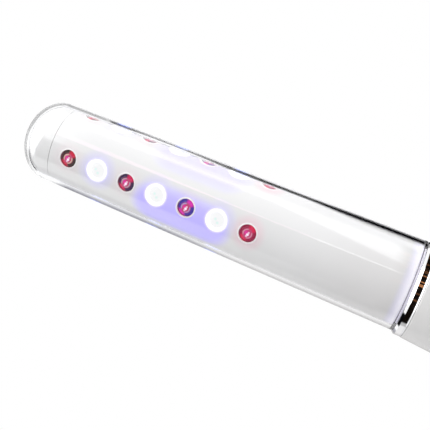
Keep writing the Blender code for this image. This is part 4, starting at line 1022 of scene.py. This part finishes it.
def make_world():
    """Plain white to the eye. The surfaces mirror a bright studio with a few dark flags."""
    _, towards, up = camera_axes()
    world = bpy.data.worlds.new("studio")
    bpy.context.scene.world = world
    world.use_nodes = True
    nodes = Nodes(world.node_tree)
    world.node_tree.nodes.clear()
    direction = nodes.add("ShaderNodeTexCoord").outputs["Generated"]

    def towards_axis(axis):
        made = nodes.add("ShaderNodeVectorMath", operation='DOT_PRODUCT')
        nodes.feed(made.inputs[0], direction)
        made.inputs[1].default_value = axis
        return made.outputs["Value"]

    degrees = math.degrees(1)
    across = towards_axis(up)
    azimuth = nodes.math('MULTIPLY', nodes.math('ARCTAN2', across, towards_axis(towards)), degrees)
    rise = nodes.math('MULTIPLY', nodes.math('ARCSINE', towards_axis(Vector((0, 0, 1)))), degrees)

    def step_up(value, edge, softness):
        return nodes.rise(nodes.math('SUBTRACT', value, edge), -softness, softness)

    def grey(value):
        return (value, value, value)

    # In front: a dim room, a panel whose edge is lit, and the soft box above them
    box_edge = nodes.math('MINIMUM', nodes.math('ADD', nodes.math('MULTIPLY', rise, 2.6), 50.0), 70.0)
    box = nodes.math('MULTIPLY', step_up(azimuth, box_edge, 4.0), nodes.rise(azimuth, 92, 98, 1.0, 0.0))
    panel = nodes.math('MULTIPLY', step_up(azimuth, 18.0, 1.0), nodes.rise(azimuth, 96, 100, 1.0, 0.0))
    line_top = nodes.rise(rise, 8, 24, 20.5, 29.0)
    line = nodes.math('MULTIPLY', step_up(azimuth, 18.5, 0.8),
                      nodes.math('SUBTRACT', 1.0, step_up(azimuth, line_top, 1.2)))
    level = nodes.mix(panel, grey(0.40), grey(1.00))
    level = nodes.mix(line, level, nodes.mix(nodes.rise(rise, 3, 5), grey(3.4), (2.2, 1.5, 1.8)))
    level = nodes.mix(box, level, nodes.mix(nodes.rise(azimuth, 76, 92), grey(2.6), grey(1.4)))

    # Behind, on the side of the picture's top: pale, with the long dark flag
    behind = nodes.rise(azimuth, 96, 100)
    level = nodes.mix(behind, level, (1.20, 1.19, 1.21))
    flag_low = nodes.math('ADD', nodes.rise(rise, -1, 5, 116.0, 133.0), nodes.rise(rise, 9, 16, 0.0, 13.0))
    flag_low = nodes.math('ADD', flag_low, nodes.rise(rise, 17.5, 20, 0.0, -6.0))
    flag_high = nodes.math('ADD', nodes.rise(rise, -1, 5, 161.0, 154.0), nodes.rise(rise, 5, 20, 0.0, 5.0))
    flag = nodes.math('MULTIPLY', step_up(azimuth, flag_low, 1.5),
                      nodes.math('SUBTRACT', 1.0, step_up(azimuth, flag_high, 2.0)))
    flag = nodes.math('MULTIPLY', flag, nodes.band(rise, FLAG_FOOT, 21.0, 0.15))

    # Beneath and behind, on the side of the picture's bottom
    beneath = nodes.rise(azimuth, -64, -72)
    front = nodes.mix(nodes.rise(rise, 0, 18), grey(0.55), grey(1.6))
    near = nodes.mix(nodes.rise(rise, 8, 16), (0.95, 0.94, 0.94), (0.95, 0.95, 0.97))
    middle = nodes.mix(nodes.rise(rise, 8, 14), (0.82, 0.81, 0.81), (0.56, 0.56, 0.60))
    edge = nodes.mix(nodes.rise(rise, 6, 14), (0.62, 0.61, 0.61), (0.36, 0.36, 0.40))
    low = nodes.mix(nodes.rise(azimuth, -98, -104), front, near)
    low = nodes.mix(nodes.rise(azimuth, -135, -147), low, middle)
    low = nodes.mix(nodes.rise(azimuth, -147, -158), low, edge)
    pale_from = nodes.rise(azimuth, -140, -130, 22.6, 30.0)
    low = nodes.mix(step_up(rise, pale_from, 0.7), low, grey(1.15))
    level = nodes.mix(beneath, level, low)

    # High up, a wide soft box whose edge climbs towards the picture's bottom, and the flag
    # that the ring's cone mirrors
    head_edge = nodes.math('MULTIPLY', nodes.math('MINIMUM', azimuth, 0.0), -HEAD_SLOPE)
    head_edge = nodes.math('MINIMUM', nodes.math('ADD', head_edge, HEAD_EDGE), HEAD_TOP)
    head_box = nodes.math('MULTIPLY', step_up(rise, head_edge, 5.0), nodes.rise(azimuth, -92, -80))
    level = nodes.mix(head_box, level, nodes.mix(behind, grey(5.0), grey(1.15)))
    cone_flag = nodes.math('MULTIPLY', nodes.band(azimuth, -135, -109, 1.5), nodes.band(rise, 27, 62, 2.0))

    # The dome's outline: a thin grey ring round the line of sight to the tip
    beyond = Vector(-towards) * math.cos(SIGHT_RISE) + Vector((0, 0, 1)) * math.sin(SIGHT_RISE)
    off_sight = nodes.math('MULTIPLY', nodes.math('ARCCOSINE', towards_axis(beyond)), degrees)
    wide = nodes.rise(across, -0.10, 0.15, 30.0, 38.0)
    outline = nodes.math('MULTIPLY', step_up(off_sight, 18.0, 1.5),
                         nodes.math('SUBTRACT', 1.0, step_up(off_sight, wide, 1.5)))
    outline = nodes.math('MULTIPLY', outline, nodes.rise(rise, 20.5, 21.5))
    outline = nodes.math('MULTIPLY', outline, nodes.rise(across, -0.38, -0.30))
    thin_grey = nodes.mix(nodes.rise(across, -0.24, -0.06), grey(0.12), grey(0.42))
    level = nodes.mix(outline, level, thin_grey)

    # Below the eye, in front: the dark table edge that the ring's wall mirrors
    wall_flag = nodes.math('MULTIPLY', nodes.band(azimuth, -90, 94, 3.0), nodes.band(rise, -16, -3.0, 0.8))
    speck = nodes.noise(direction, 11.0, 3.0, 0.6)
    brown = nodes.rise(azimuth, -45, 10)
    speck = nodes.math('MULTIPLY', nodes.rise(speck, 0.55, 0.66), brown)
    table = nodes.mix(speck, (0.006, 0.004, 0.003), (0.95, 0.40, 0.16))
    dark = nodes.math('MAXIMUM', flag, cone_flag)
    level = nodes.mix(dark, level, (0.003, 0.003, 0.004))
    seen = nodes.mix(wall_flag, level, table)

    path = nodes.add("ShaderNodeLightPath").outputs
    mirrors = nodes.math('MAXIMUM', path["Is Glossy Ray"], path["Is Transmission Ray"])
    soft = nodes.math('ADD', nodes.math('MULTIPLY', across, ROOM_SLOPE), ROOM_LIGHT)
    back = up * math.sin(SHADE_AROUND) - towards * math.cos(SHADE_AROUND)
    shaded = nodes.math('MULTIPLY', nodes.math('MAXIMUM', towards_axis(back), 0.0), ROOM_SHADE)
    soft = nodes.math('SUBTRACT', soft, shaded)
    colour = nodes.mix(mirrors, soft, seen)
    colour = nodes.mix(path["Is Camera Ray"], colour, (1.0, 1.0, 1.0))
    backdrop = nodes.add("ShaderNodeBackground")
    nodes.feed(backdrop.inputs["Color"], colour)
    nodes.feed(nodes.add("ShaderNodeOutputWorld").inputs[0], backdrop.outputs[0])


# Angles of the mirrored studio in degrees, and of the line of sight to the tip
FLAG_FOOT = -6.6
HEAD_EDGE = 27.0
HEAD_SLOPE = 0.35
HEAD_TOP = 44.0

# The room's light on matt surfaces: its mean, and its rise towards the picture's top
ROOM_LIGHT = 1.09
ROOM_SLOPE = 0.56

# The room's dim end, behind the wand: how much light it takes away, and its turn to the top
ROOM_SHADE = 0.7
SHADE_AROUND = math.radians(30)

SIGHT_RISE = math.radians(23.5)


def main():
    lamps = lamp_places()
    heights = [height for row, _, _, height, _ in lamps if row == 0]
    white = plain("gloss_white", (0.80, 0.795, 0.79), 0.16, grain=400.0, spread=0.02, coat=0.6)
    # A duller, darker white for the walls of holes, wells and recesses: painted shade
    shade = plain("recess_painted_shade", (0.72, 0.72, 0.73), 0.3, spread=0.02)
    drum = drum_white(heights)
    # Socket walls with the lamps' light painted on as glow
    walls = {
        "red": painted_lamp_glow("red_socket_wall", (0.22, 0.03, 0.07), 0.3),
        "blue": painted_lamp_glow("blue_socket_wall", (0.95, 0.95, 1.0), 1.0),
    }
    chrome = plain("chrome_plate", (0.86, 0.86, 0.87), 0.04, metallic=1.0, grain=300.0, spread=0.02,
                   bump=0.000004)
    steel = plain("screw_steel", (0.62, 0.62, 0.63), 0.25, metallic=1.0)
    gold = plain("gold_plate", (0.83, 0.62, 0.24), 0.18, metallic=1.0)
    rubber = plain("seal_grey", (0.55, 0.56, 0.58), 0.55)
    red_lenses = {
        0: red_lens("red_lens_1", (0.055, 0.026, 0.022), (0.80, 0.01, 0.06), (0.72, 0.55, 0.40)),
        2: red_lens("red_lens_3", (0.050, 0.012, 0.080), (0.85, 0.01, 0.12), (0.50, 0.42, 0.50)),
        4: red_lens("red_lens_5", (0.065, 0.030, 0.420), (0.95, 0.02, 0.55), (0.45, 0.36, 0.70)),
        6: red_lens("red_lens_7", (0.400, 0.002, 0.065), (0.90, 0.005, 0.09), (0.75, 0.30, 0.42)),
    }
    make_camera()
    make_floor()
    make_world()
    make_tube(clear_acrylic(heights))
    # Lips round the sockets with the lamps' light painted on as glow: faint at the red lamps, bright white
    # at the blue
    rims = {
        "red": painted_lamp_glow("red_bezel", (0.84, 0.82, 0.82), 0.14),
        "blue": painted_lamp_glow("blue_bezel", (0.97, 0.97, 1.0), 1.0),
    }
    make_drum(drum, rims, walls, lamps)
    make_cap(drum)
    make_lamps(lamps, red_lenses, blue_lens())
    make_ring(chrome)
    make_handle(white, shade)
    make_buttons(plain("button_white", (0.78, 0.78, 0.80), 0.25, grain=500.0, spread=0.02, coat=0.2))
    make_base(white, shade, rubber, steel, gold)
    finish_inner_nodes()
    bpy.context.scene.view_settings.view_transform = 'Standard'


main()
